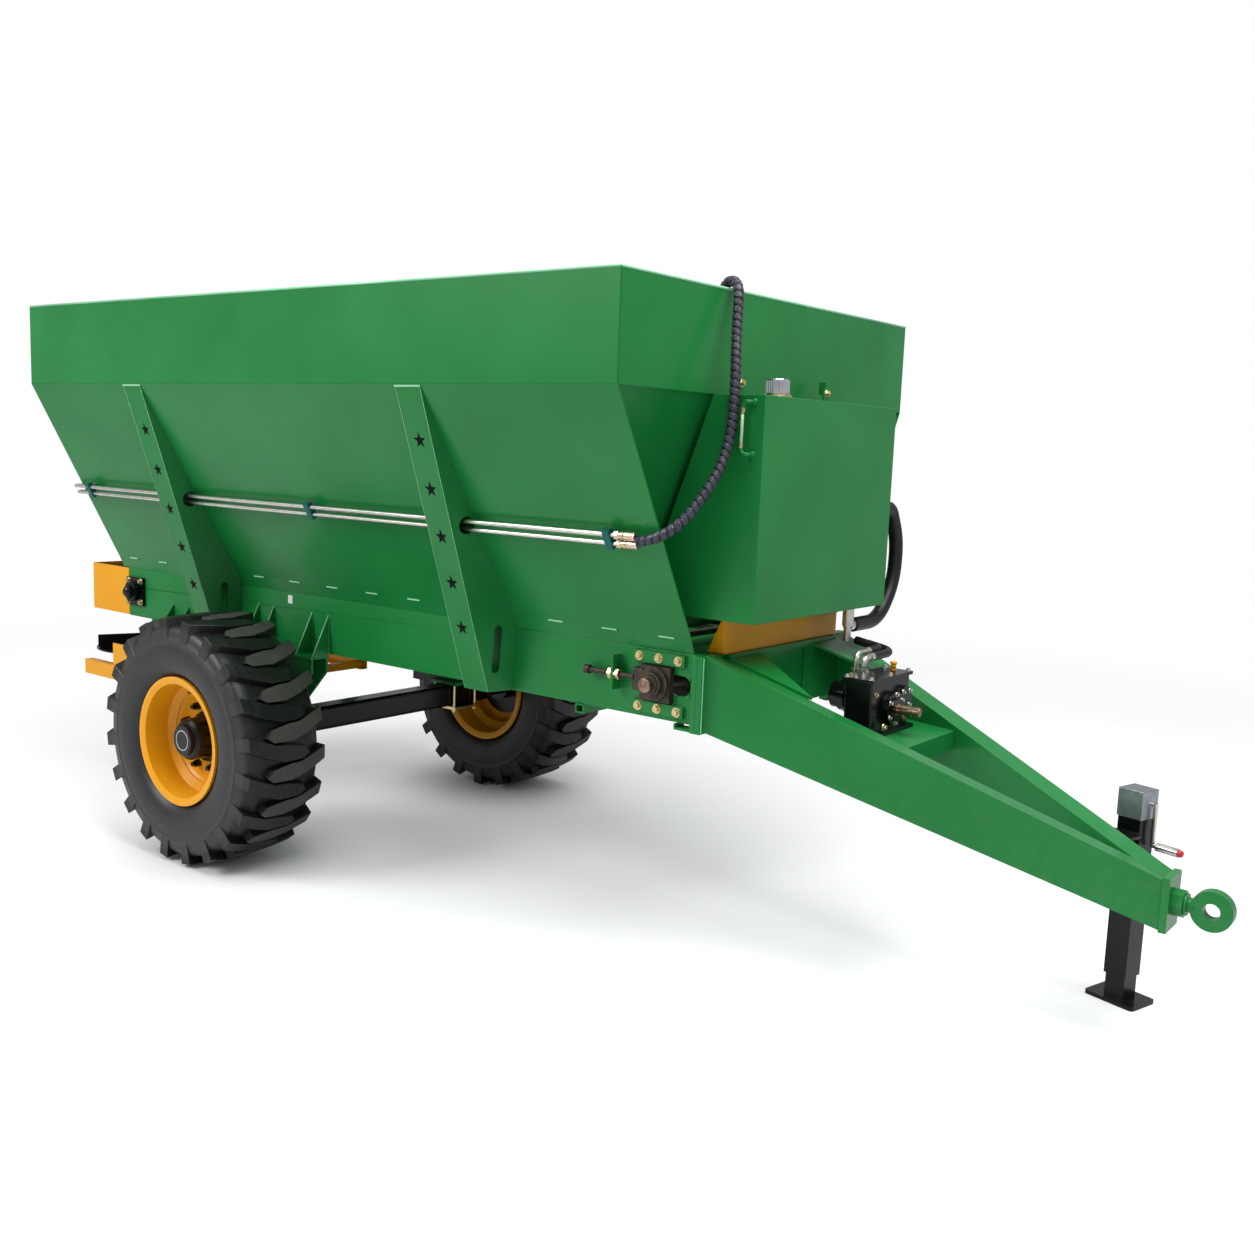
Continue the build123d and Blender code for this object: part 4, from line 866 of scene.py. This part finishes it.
# %% [markdown]
# The front shaft's bearings slide in the rails to tighten the conveyor. Each has two cast rings
# round the shaft's turned end, and yellow-plated nuts lock its screw on both sides of the lug. The
# two side pipes end in pressed sleeves with hexagon nuts, where the hoses begin. The small paper
# label on the right rail is blank.

# %% Bearings, nuts and couplings
TAKE_UP_X, SCREW_Y, SCREW_Z = 2080, 527, 1030
PIPE_ENDS = ((-761.0, 1555.0), (-745.0, 1525.0))
bm = bmesh.new()
for side in (-1, 1):
    for x in (1875.0, 1907.0):
        turned(bm, (x, side * SCREW_Y, SCREW_Z), (x + 20, side * SCREW_Y, SCREW_Z), 22, sides=6, soften=2)
show("take_up_nuts", bm, gold_zinc, "chassis", smooth=False)
bm = bmesh.new()
for side in (-1, 1):
    for y0, y1, foot, top, sides in ((551, 556, 45, 43, 48), (555, 566, 36, 34, 40)):
        start, end = (TAKE_UP_X, side * y0, SHAFT_Z), (TAKE_UP_X, side * y1, SHAFT_Z)
        turned(bm, start, end, foot, top, sides=sides, soften=1.5)
show("bearing_rings", bm, cast_iron, "chassis")
bm = bmesh.new()
for side in (-1, 1):
    for y0, y1, foot, top, sides, soften in ((560, 590, 26.5, 26.5, 40, 2), (589, 592, 6, 4, 16, 0)):
        start, end = (TAKE_UP_X, side * y0, SHAFT_Z), (TAKE_UP_X, side * y1, SHAFT_Z)
        turned(bm, start, end, foot, top, sides=sides, soften=soften)
show("shaft_ends", bm, spline_steel, "chassis")
bm = bmesh.new()
for y, z in PIPE_ENDS:
    turned(bm, (2062, y, z), (2082, y, z), 15.5, sides=6, soften=1.5)
    turned(bm, (2082, y, z), (2094, y, z), 12.5, sides=24)
    turned(bm, (2094, y, z), (2104, y, z), 16, sides=24, soften=1.5)
    turned(bm, (2106, y, z), (2151, y, z), 15.6, 15.0, sides=24, soften=1.5)
show("pipe_couplings", bm, pale_brass, "chassis", smooth=False)
bm = bmesh.new()
bar(bm, (-36, -RAIL_FACE - 0.2, 1103), (-4, -RAIL_FACE - 0.2, 1103), 38, 0.8)
bare_label = enamel("blank_paper_label", "d9d9d6", "e3e3e0", 0.5, 0.0)
show("blank_rail_label", bm, bare_label, "chassis", smooth=False)
print("nuts, rings and couplings done")

# %% [markdown]
# The oil level gauge is a clear tube between two elbows screwed into the tank's side. The elbows
# are sprayed with the tank, and brass-coloured nuts clamp the tube. The filler's chromed cap has a
# knurled rim to grip and sits on a plated neck, held by five small screws. The tab with its bolt on
# the tank's top edge and a second bolt near it belong to the same corner.

# %% Level gauge and filler cap
GAUGE_X, GAUGE_Y, ELBOW_X = 2390, -516.0, 2418
GAUGE_ENDS = ((2016.0, -1), (1842.0, 1))
bm = bmesh.new()
for z, step in GAUGE_ENDS:
    turned(bm, (ELBOW_X, -486, z), (ELBOW_X, -496, z), 13, 9, soften=1)
    screwed = [(ELBOW_X, -490, z), (ELBOW_X, GAUGE_Y - 6, z)]
    bent_rod(bm, screwed + [(GAUGE_X + 2, GAUGE_Y, z), (GAUGE_X, GAUGE_Y, z + step * 24)], 6.5)
show("gauge_elbows", bm, green_enamel, "chassis")
bm = bmesh.new()
for z, step in GAUGE_ENDS:
    for near, far, radius, sides, soften in ((20, 34, 9, 6, 1), (33, 40, 7, 16, 0)):
        start, end = (GAUGE_X, GAUGE_Y, z + step * near), (GAUGE_X, GAUGE_Y, z + step * far)
        turned(bm, start, end, radius, sides=sides, soften=soften)
show("gauge_nuts", bm, gold_zinc, "chassis", smooth=False)
bm = bmesh.new()
turned(bm, (GAUGE_X, GAUGE_Y, 1870), (GAUGE_X, GAUGE_Y, 1988), 5.5, sides=20)
gauge_tube = show("gauge_tube", bm, sight_plastic, "chassis")
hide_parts("sight_gauge")

CAP_X, CAP_Y, KNURLS = 2400.0, -320.0, 28
bm = bmesh.new()
turned(bm, (CAP_X, CAP_Y, 2052), (CAP_X, CAP_Y, 2094), 40, 38.5, sides=48)
turned(bm, (CAP_X, CAP_Y, 2092), (CAP_X, CAP_Y, 2102), 41, 39, sides=48, soften=2.5)
for k in range(KNURLS):
    turn = 2 * pi * k / KNURLS
    spot = (CAP_X + 39.5 * cos(turn), CAP_Y + 39.5 * sin(turn))
    turned(bm, (*spot, 2053), (*spot, 2095), 3.0, sides=6)
show("filler_cap_knurled", bm, chrome, "chassis", smooth=False)
bm = bmesh.new()
turned(bm, (CAP_X, CAP_Y, 2040), (CAP_X, CAP_Y, 2046), 52, sides=40, soften=1)
for k in range(5):
    turn = 2 * pi * k / 5 + 0.3
    spot = (CAP_X + 44 * cos(turn), CAP_Y + 44 * sin(turn), 2046)
    bolt(bm, spot, UP, 8.0, 4.0, washer=False)
turned(bm, (CAP_X, CAP_Y, 2046), (CAP_X, CAP_Y, 2053), 33, sides=40)
neck = show("filler_neck", bm, gold_zinc, "chassis", smooth=False)
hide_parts("filler_cap")

bm = bmesh.new()
bar(bm, (2292, 215, 2040), (2292, 215, 2102), 8, 46)
bar(bm, (2292, 215, 2100), (2262, 215, 2100), 46, 8)
show("tank_tab", bm, green_enamel, "chassis", smooth=False)
bolts(
    "tank_bolts",
    gold_zinc,
    "chassis",
    [((2296, 215, 2082), FORWARD, 17, 11), ((2230, -284, 2091), FORWARD, 19, 12)],
)
print("tank corner done")

# %% [markdown]
# The gearbox's stub shaft is the usual 35 mm six-spline end that a drive shaft slides on, with a
# groove for its lock. Its outline is a circle whose points step in and out six times, extruded
# along the shaft. The gearbox also carries a yellow breather on its lid and four small plugs.

# %% Splined shaft end and gearbox fittings
TOOTH, ROOT = 17.4, 14.4


def splined(bm, x0, x1, outer, inner, count=6):
    """Adds a splined length along X through the drive axis."""
    sides = count * 8
    made = bmesh.ops.create_circle(
        bm, cap_ends=True, segments=sides, radius=1.0, matrix=Matrix.Rotation(radians(90), 4, "Y")
    )
    for i, v in enumerate(made["verts"]):
        radius = outer if i % 8 < 4 else inner
        direction = Vector((0, v.co.y, v.co.z)).normalized()
        v.co = at(x0, 0, PTO_HEIGHT) + direction * radius * MM
    faces = list({f for v in made["verts"] for f in v.link_faces})
    top = bmesh.ops.extrude_face_region(bm, geom=faces)
    moved = [g for g in top["geom"] if isinstance(g, bmesh.types.BMVert)]
    bmesh.ops.translate(bm, verts=moved, vec=((x1 - x0) * MM, 0, 0))


bm = bmesh.new()
splined(bm, 2779, 2834, TOOTH, ROOT)
turned(bm, (2832, 0, PTO_HEIGHT), (2842, 0, PTO_HEIGHT), 14.2, sides=32)
splined(bm, 2840, 2862, TOOTH, ROOT)
turned(bm, (2860, 0, PTO_HEIGHT), (2864, 0, PTO_HEIGHT), 15.5, 14.0, sides=32)
turned(bm, (2720, 0, PTO_HEIGHT), (2781, 0, PTO_HEIGHT), 20.8, sides=32)
bmesh.ops.recalc_face_normals(bm, faces=bm.faces)
splines = show("splined_shaft_end", bm, spline_steel, "input_shaft", smooth=False)
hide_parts("pto_shaft")

bm = bmesh.new()
turned(bm, (2700, 104, 1078), (2700, 104, 1086), 10, sides=6, soften=1)
turned(bm, (2700, 104, 1085), (2700, 104, 1106), 9, 11, sides=24)
turned(bm, (2700, 104, 1104), (2700, 104, 1112), 14, 12, sides=24, soften=2)
show("breather_plug", bm, yellow_enamel, "chassis")
bolts(
    "brass_plugs_gearbox",
    gold_zinc,
    "chassis",
    [
        ((2768, -84, 905), FORWARD, 16, 9),
        ((2747, -118, 1022), FORWARD, 12, 7),
        ((2747, 118, 905), FORWARD, 12, 7),
        ((2647, -120, 1078), UP, 13, 8),
    ],
)
print("gearbox fittings done")

# %% [markdown]
# Welds. Where sheets meet, a bead of small overlapping ripples runs along the joint. The same
# tube that makes the hose makes a bead: its radius swells every few millimetres. The foot of the
# slope is stitched with short beads; the ribs' tops and the gussets on the axle's brackets are
# welded all along. The beads take the pale green, a painted highlight on their ripples. Thin pale
# rods, a millimetre or two wide, lie along the folded edges of the ribs and gussets: painted
# highlights.

# %% Weld beads and painted edge highlights
def bead(bm, start, end, radius_mm=4.0, ripple_mm=7.0):
    """Adds one rippled bead between two places."""
    a, b = at(*start), at(*end)
    steps = max(2, round((b - a).length / (ripple_mm * MM / 2)))
    line = [a.lerp(b, i / steps) for i in range(steps + 1)]
    hose_mesh(
        bm,
        line,
        lambda along, turn: radius_mm * MM * (0.82 + 0.18 * cos(2 * pi * along / (ripple_mm * MM))),
        6,
    )


def stitches(bm, start, end, length_mm, gap_mm, radius_mm=4.5):
    """Adds short beads at even spacing along a joint."""
    a, b = Vector(start), Vector(end)
    run = (b - a).length
    unit = (b - a) / run
    place = gap_mm / 2
    while place + length_mm < run:
        bead(bm, a + unit * place, a + unit * (place + length_mm), radius_mm)
        place += length_mm + gap_mm


RIB_PLACES, RIB_HALF = (-491.0, 1274.0), 63.0
bm = bmesh.new()
for side in (-1, 1):
    stitches(bm, (-1385, side * 523, 1190), (2215, side * 523, 1190), 70, 190)
    for x in RIB_PLACES:
        bead(bm, (x - 66, side * 988, 2036), (x + 66, side * 988, 2036), 5)
        for edge in (x - RIB_HALF, x + RIB_HALF):
            # Painted highlight: a pale rod along each edge of the rib's face.
            turned(bm, (edge, side * 989.6, 2040), (edge, side * 603.6, 887), 1.0, sides=6)
    for x in (-251.0, -138.0, 138.0, 251.0):
        bead(bm, (x, side * 499, 1056), (x, side * 499, 884), 5)
        # Painted highlight: a pale rod along the gusset's sloping edge.
        turned(bm, (x, side * 497.6, 1062), (x, side * 588.2, 879), 2.4, sides=6)
    bead(bm, (2284, side * 520, 868), (2284, side * 520, 1132), 4)
# Painted highlight: the beads and edge rods take the pale green.
show("weld_beads_and_painted_edge_highlights", bm, painted_highlight_green, "chassis")
print("welds done")

# %% [markdown]
# The star holes in the ribs look black with the shade inside the ribs. A thin black sheet of
# painted shade closes each star and laps its edge by a few millimetres. The face leans with the
# ribs: for each millimetre down it comes a third of a millimetre inwards.

# %% Star holes' painted shade
STAR_OUTER, STAR_INNER, STAR_TOP, STAR_PITCH, STAR_COUNT = 32.0, 12.8, 1844.0, 176.5, 5
# Painted shade: the black sheets sit a little proud of the rib's face.
SHADE_SHEET_PROUD, SHADE_SHEET_THICK, HOLE_RISE = 0.6, 1.5, 1.6
FACE_TOP, FACE_FOOT = Vector((0, 990, 2044)), Vector((0, 603, 885))
bm = bmesh.new()
for side in (-1, 1):
    flip = Matrix.Diagonal((1, side, 1))
    up = (flip @ (FACE_TOP - FACE_FOOT)).normalized()
    inward = Vector((0, -side * up.z, side * up.y))
    for x in RIB_PLACES:
        for k in range(STAR_COUNT):
            z = STAR_TOP - k * STAR_PITCH
            share = (z - FACE_FOOT.z) / (FACE_TOP.z - FACE_FOOT.z)
            middle = flip @ FACE_FOOT.lerp(FACE_TOP, share) + Vector((x, 0, 0))
            middle += up * HOLE_RISE - inward * SHADE_SHEET_PROUD
            rim = []
            for i in range(10):
                turn = radians(90 + 36 * i)
                reach = STAR_INNER if i % 2 else STAR_OUTER
                spot = middle + Vector((reach * cos(turn), 0, 0)) + up * (reach * sin(turn))
                rim.append(bm.verts.new(at(*spot)))
            sheet = bm.faces.new(rim)
            deep = bmesh.ops.extrude_face_region(bm, geom=[sheet])["geom"]
            back = [v for v in deep if isinstance(v, bmesh.types.BMVert)]
            bmesh.ops.translate(bm, vec=inward * SHADE_SHEET_THICK * MM, verts=back)
bmesh.ops.recalc_face_normals(bm, faces=bm.faces)
# Painted shade: black sheets in the star holes.
show("star_holes_painted_shade", bm, shade_paint_black, "chassis", smooth=False)
print("star liners done")

# %% [markdown]
# The hopper's rim is folded over, which leaves a round-topped lip along the four boards. The lip
# is pale green, a painted highlight that draws a thin bright line round the top.

# %% Rim lip
bm = bmesh.new()
LIP_RADIUS, LIP_Z = 5.0, 2403
corners = [(-1349, -987), (2224, -987), (2224, 987), (-1349, 987)]
for (xa, ya), (xb, yb) in zip(corners, corners[1:] + corners[:1]):
    turned(bm, (xa, ya, LIP_Z), (xb, yb, LIP_Z), LIP_RADIUS, sides=10)
# Painted highlight: the lip takes the pale green.
show("hopper_rim_lip", bm, painted_highlight_green, "chassis")
print("lip on", len(corners), "boards")

# %% [markdown]
# The screw jack's crank ends in a black rubber grip with a red plastic knob. Both ride on the
# chassis, because only the jack's foot slides.

# %% Jack details
JACK_X, JACK_Y, GRIP_Y, GRIP_Z = 3541.0, 320.0, 12, 570
BEAM_REAR, BEAM_NOSE = (2284.0, 497.0), (3740.0, 62.0)
jack_turn = -atan2(BEAM_REAR[1] - BEAM_NOSE[1], BEAM_NOSE[0] - BEAM_REAR[0])


def on_jack(x, y, z):
    """A place on the jack, whose tube is turned to the drawbar's side."""
    return (
        JACK_X + x * cos(jack_turn) - y * sin(jack_turn),
        JACK_Y + x * sin(jack_turn) + y * cos(jack_turn),
        z,
    )


bm = bmesh.new()
turned(bm, on_jack(88, GRIP_Y, GRIP_Z), on_jack(158, GRIP_Y, GRIP_Z), 14.5, 13.0, sides=24, soften=3)
show("crank_grip", bm, hose_rubber, "chassis")
red_knob = enamel("red_plastic_knob", "b3202a", "c42f35", 0.35, 0.2)
bm = bmesh.new()
turned(bm, on_jack(157, GRIP_Y, GRIP_Z), on_jack(174, GRIP_Y, GRIP_Z), 14.0, 10.5, sides=24, soften=4)
show("crank_knob", bm, red_knob, "chassis")
print("jack's crank finished")

# %% [markdown]
# Wheels: each plain hub cap carries a thin pale ring, and a rubber valve stem stands in the rim.

# %% Hub caps and valves
def ring_piece(bm, x, y, z, radius, thickness):
    """Adds a thin ring round the axle's direction, by spinning a small circle."""
    made = bmesh.ops.create_circle(
        bm,
        cap_ends=False,
        segments=8,
        radius=thickness * MM,
        matrix=Matrix.Translation(at(x, y, z + radius)) @ Matrix.Rotation(radians(90), 4, "Y"),
    )
    edges = list({e for v in made["verts"] for e in v.link_edges})
    bmesh.ops.spin(
        bm,
        geom=made["verts"] + edges,
        cent=at(x, y, z),
        axis=(0, 1, 0),
        dvec=(0, 0, 0),
        angle=2 * pi,
        steps=56,
        use_merge=True,
    )


CENTRE_Z, CAP_FACE = 537.5, 1076.0
pale_mark = enamel("pale_cap_mark", "b9bcbc", "c9cccb", 0.4, 0.0)
for side_name, side in (("right", -1), ("left", 1)):
    bm = bmesh.new()
    ring_piece(bm, 0, side * (CAP_FACE - 1), CENTRE_Z, 42, 2.2)
    bmesh.ops.recalc_face_normals(bm, faces=bm.faces)
    show(f"cap_ring_{side_name}", bm, pale_mark, f"wheel_{side_name}")
    bm = bmesh.new()
    turned(bm, (40, side * 1030, CENTRE_Z + 206), (46, side * 1058, CENTRE_Z + 214), 5, 4, sides=12)
    turned(bm, (46, side * 1057, CENTRE_Z + 214), (49, side * 1074, CENTRE_Z + 218), 6, 6, sides=12, soften=1)
    show(f"valve_stem_{side_name}", bm, hose_rubber, f"wheel_{side_name}")
print("wheel details done")

# %% [markdown]
# The machine stands on a white sweep. The camera sees plain white where the world is; the light
# itself comes from a soft, even dome and two large softboxes, one at the right and one above the
# front, so the sides stay readable and a soft shadow grounds the wheels and the jack. The floor
# glows a little for the camera, which whitens it, but the glow is left out close to the tyres:
# that paints a dark contact shadow round each tyre. The floor fades out further away, so no
# horizon shows.

# %% Floor and light
FLOOR_SIZE, WHITE_FROM, WHITE_TO = 14.0, 4.2, 9.0
GLOW, DOME = 0.3, 0.52
PAINTED_SHADOW_CORE, PAINTED_SHADOW_REACH = 0.1, 0.75
bm = bmesh.new()
bmesh.ops.create_circle(bm, cap_ends=True, segments=64, radius=FLOOR_SIZE)
floor_mesh = bpy.data.meshes.new("studio_floor")
bm.to_mesh(floor_mesh)
bm.free()
floor = bpy.data.objects.new("studio_floor", floor_mesh)
bpy.context.scene.collection.objects.link(floor)
floor_finish, tree, place = blank("studio_floor_paint")
tone = blended(tree, patches(tree, place, 900), linear("dedee0"), linear("e2e2e4"))
paint = add(tree, "ShaderNodeBsdfPrincipled", inputs={"Base Color": tone, "Roughness": 0.8})
glow_and_painted_shadow = GLOW
# Painted contact shadow: the glow falls to nothing near each tyre's foot.
for side in (-1, 1):
    foot = (axle_x, side * wheel_y, 0.0)
    gap = add(tree, "ShaderNodeVectorMath", {"operation": "DISTANCE"}, {0: place, 1: foot}).outputs["Value"]
    outside_painted_shadow = add(
        tree,
        "ShaderNodeMapRange",
        {"interpolation_type": "SMOOTHSTEP"},
        {"Value": gap, "From Min": PAINTED_SHADOW_CORE, "From Max": PAINTED_SHADOW_REACH},
    ).outputs[0]
    glow_and_painted_shadow = add(
        tree, "ShaderNodeMath", {"operation": "MULTIPLY"}, {0: outside_painted_shadow, 1: glow_and_painted_shadow}
    ).outputs[0]
glow = add(tree, "ShaderNodeEmission", inputs={"Color": (1.0, 1.0, 1.0, 1.0), "Strength": glow_and_painted_shadow})
lifted = add(tree, "ShaderNodeAddShader", inputs={0: paint.outputs[0], 1: glow.outputs[0]})
ray = add(tree, "ShaderNodeLightPath").outputs["Is Camera Ray"]
seen_floor = add(tree, "ShaderNodeMixShader", inputs={0: ray, 1: paint.outputs[0], 2: lifted.outputs[0]})
away = add(tree, "ShaderNodeVectorMath", {"operation": "LENGTH"}, {0: place}).outputs["Value"]
fade = add(
    tree,
    "ShaderNodeMapRange",
    {"interpolation_type": "SMOOTHSTEP"},
    {"Value": away, "From Min": WHITE_FROM, "From Max": WHITE_TO},
).outputs[0]
clear = add(tree, "ShaderNodeBsdfTransparent")
faded = add(tree, "ShaderNodeMixShader", inputs={0: fade, 1: seen_floor.outputs[0], 2: clear.outputs[0]})
close(tree, faded.outputs[0])
floor_mesh.materials.append(floor_finish)
floor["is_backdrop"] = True

world = bpy.data.worlds.new("studio")
bpy.context.scene.world = world
world.use_nodes = True
tree = world.node_tree
tree.nodes.clear()
seen = add(tree, "ShaderNodeBackground", inputs={"Color": (1.0, 1.0, 1.0, 1.0), "Strength": 1.0})
dome = add(tree, "ShaderNodeBackground", inputs={"Color": linear("f6f8fb"), "Strength": DOME})
ray = add(tree, "ShaderNodeLightPath")
to_camera = ray.outputs["Is Camera Ray"]
shown = add(tree, "ShaderNodeMixShader", inputs={0: to_camera, 1: dome.outputs[0], 2: seen.outputs[0]})
add(tree, "ShaderNodeOutputWorld", inputs={"Surface": shown.outputs[0]})


def softbox(name, place, target, size, power):
    """A square area light that faces a target."""
    data = bpy.data.lights.new(name, "AREA")
    data.energy, data.size = power, size
    lamp = bpy.data.objects.new(name, data)
    lamp.location = place
    lamp.rotation_euler = (Vector(target) - Vector(place)).to_track_quat("-Z", "Y").to_euler()
    bpy.context.scene.collection.objects.link(lamp)


softbox("key_from_right", (-4.5, -7.5, 6.5), (-0.4, 0, 1.6), 4.5, 640)
softbox("top_and_front", (3.2, -0.8, 7.6), (1.2, 0, 0.9), 5.0, 620)
print("floor and lights done")

# %% [markdown]
# The sizes of what is shown are printed beside the sizes of the imported model.

# %% Sizes and finish
shown_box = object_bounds()
for label, box in (("model", cad_box), ("shown", shown_box)):
    print(label, [round(b - a, 3) for a, b in zip(*box)])
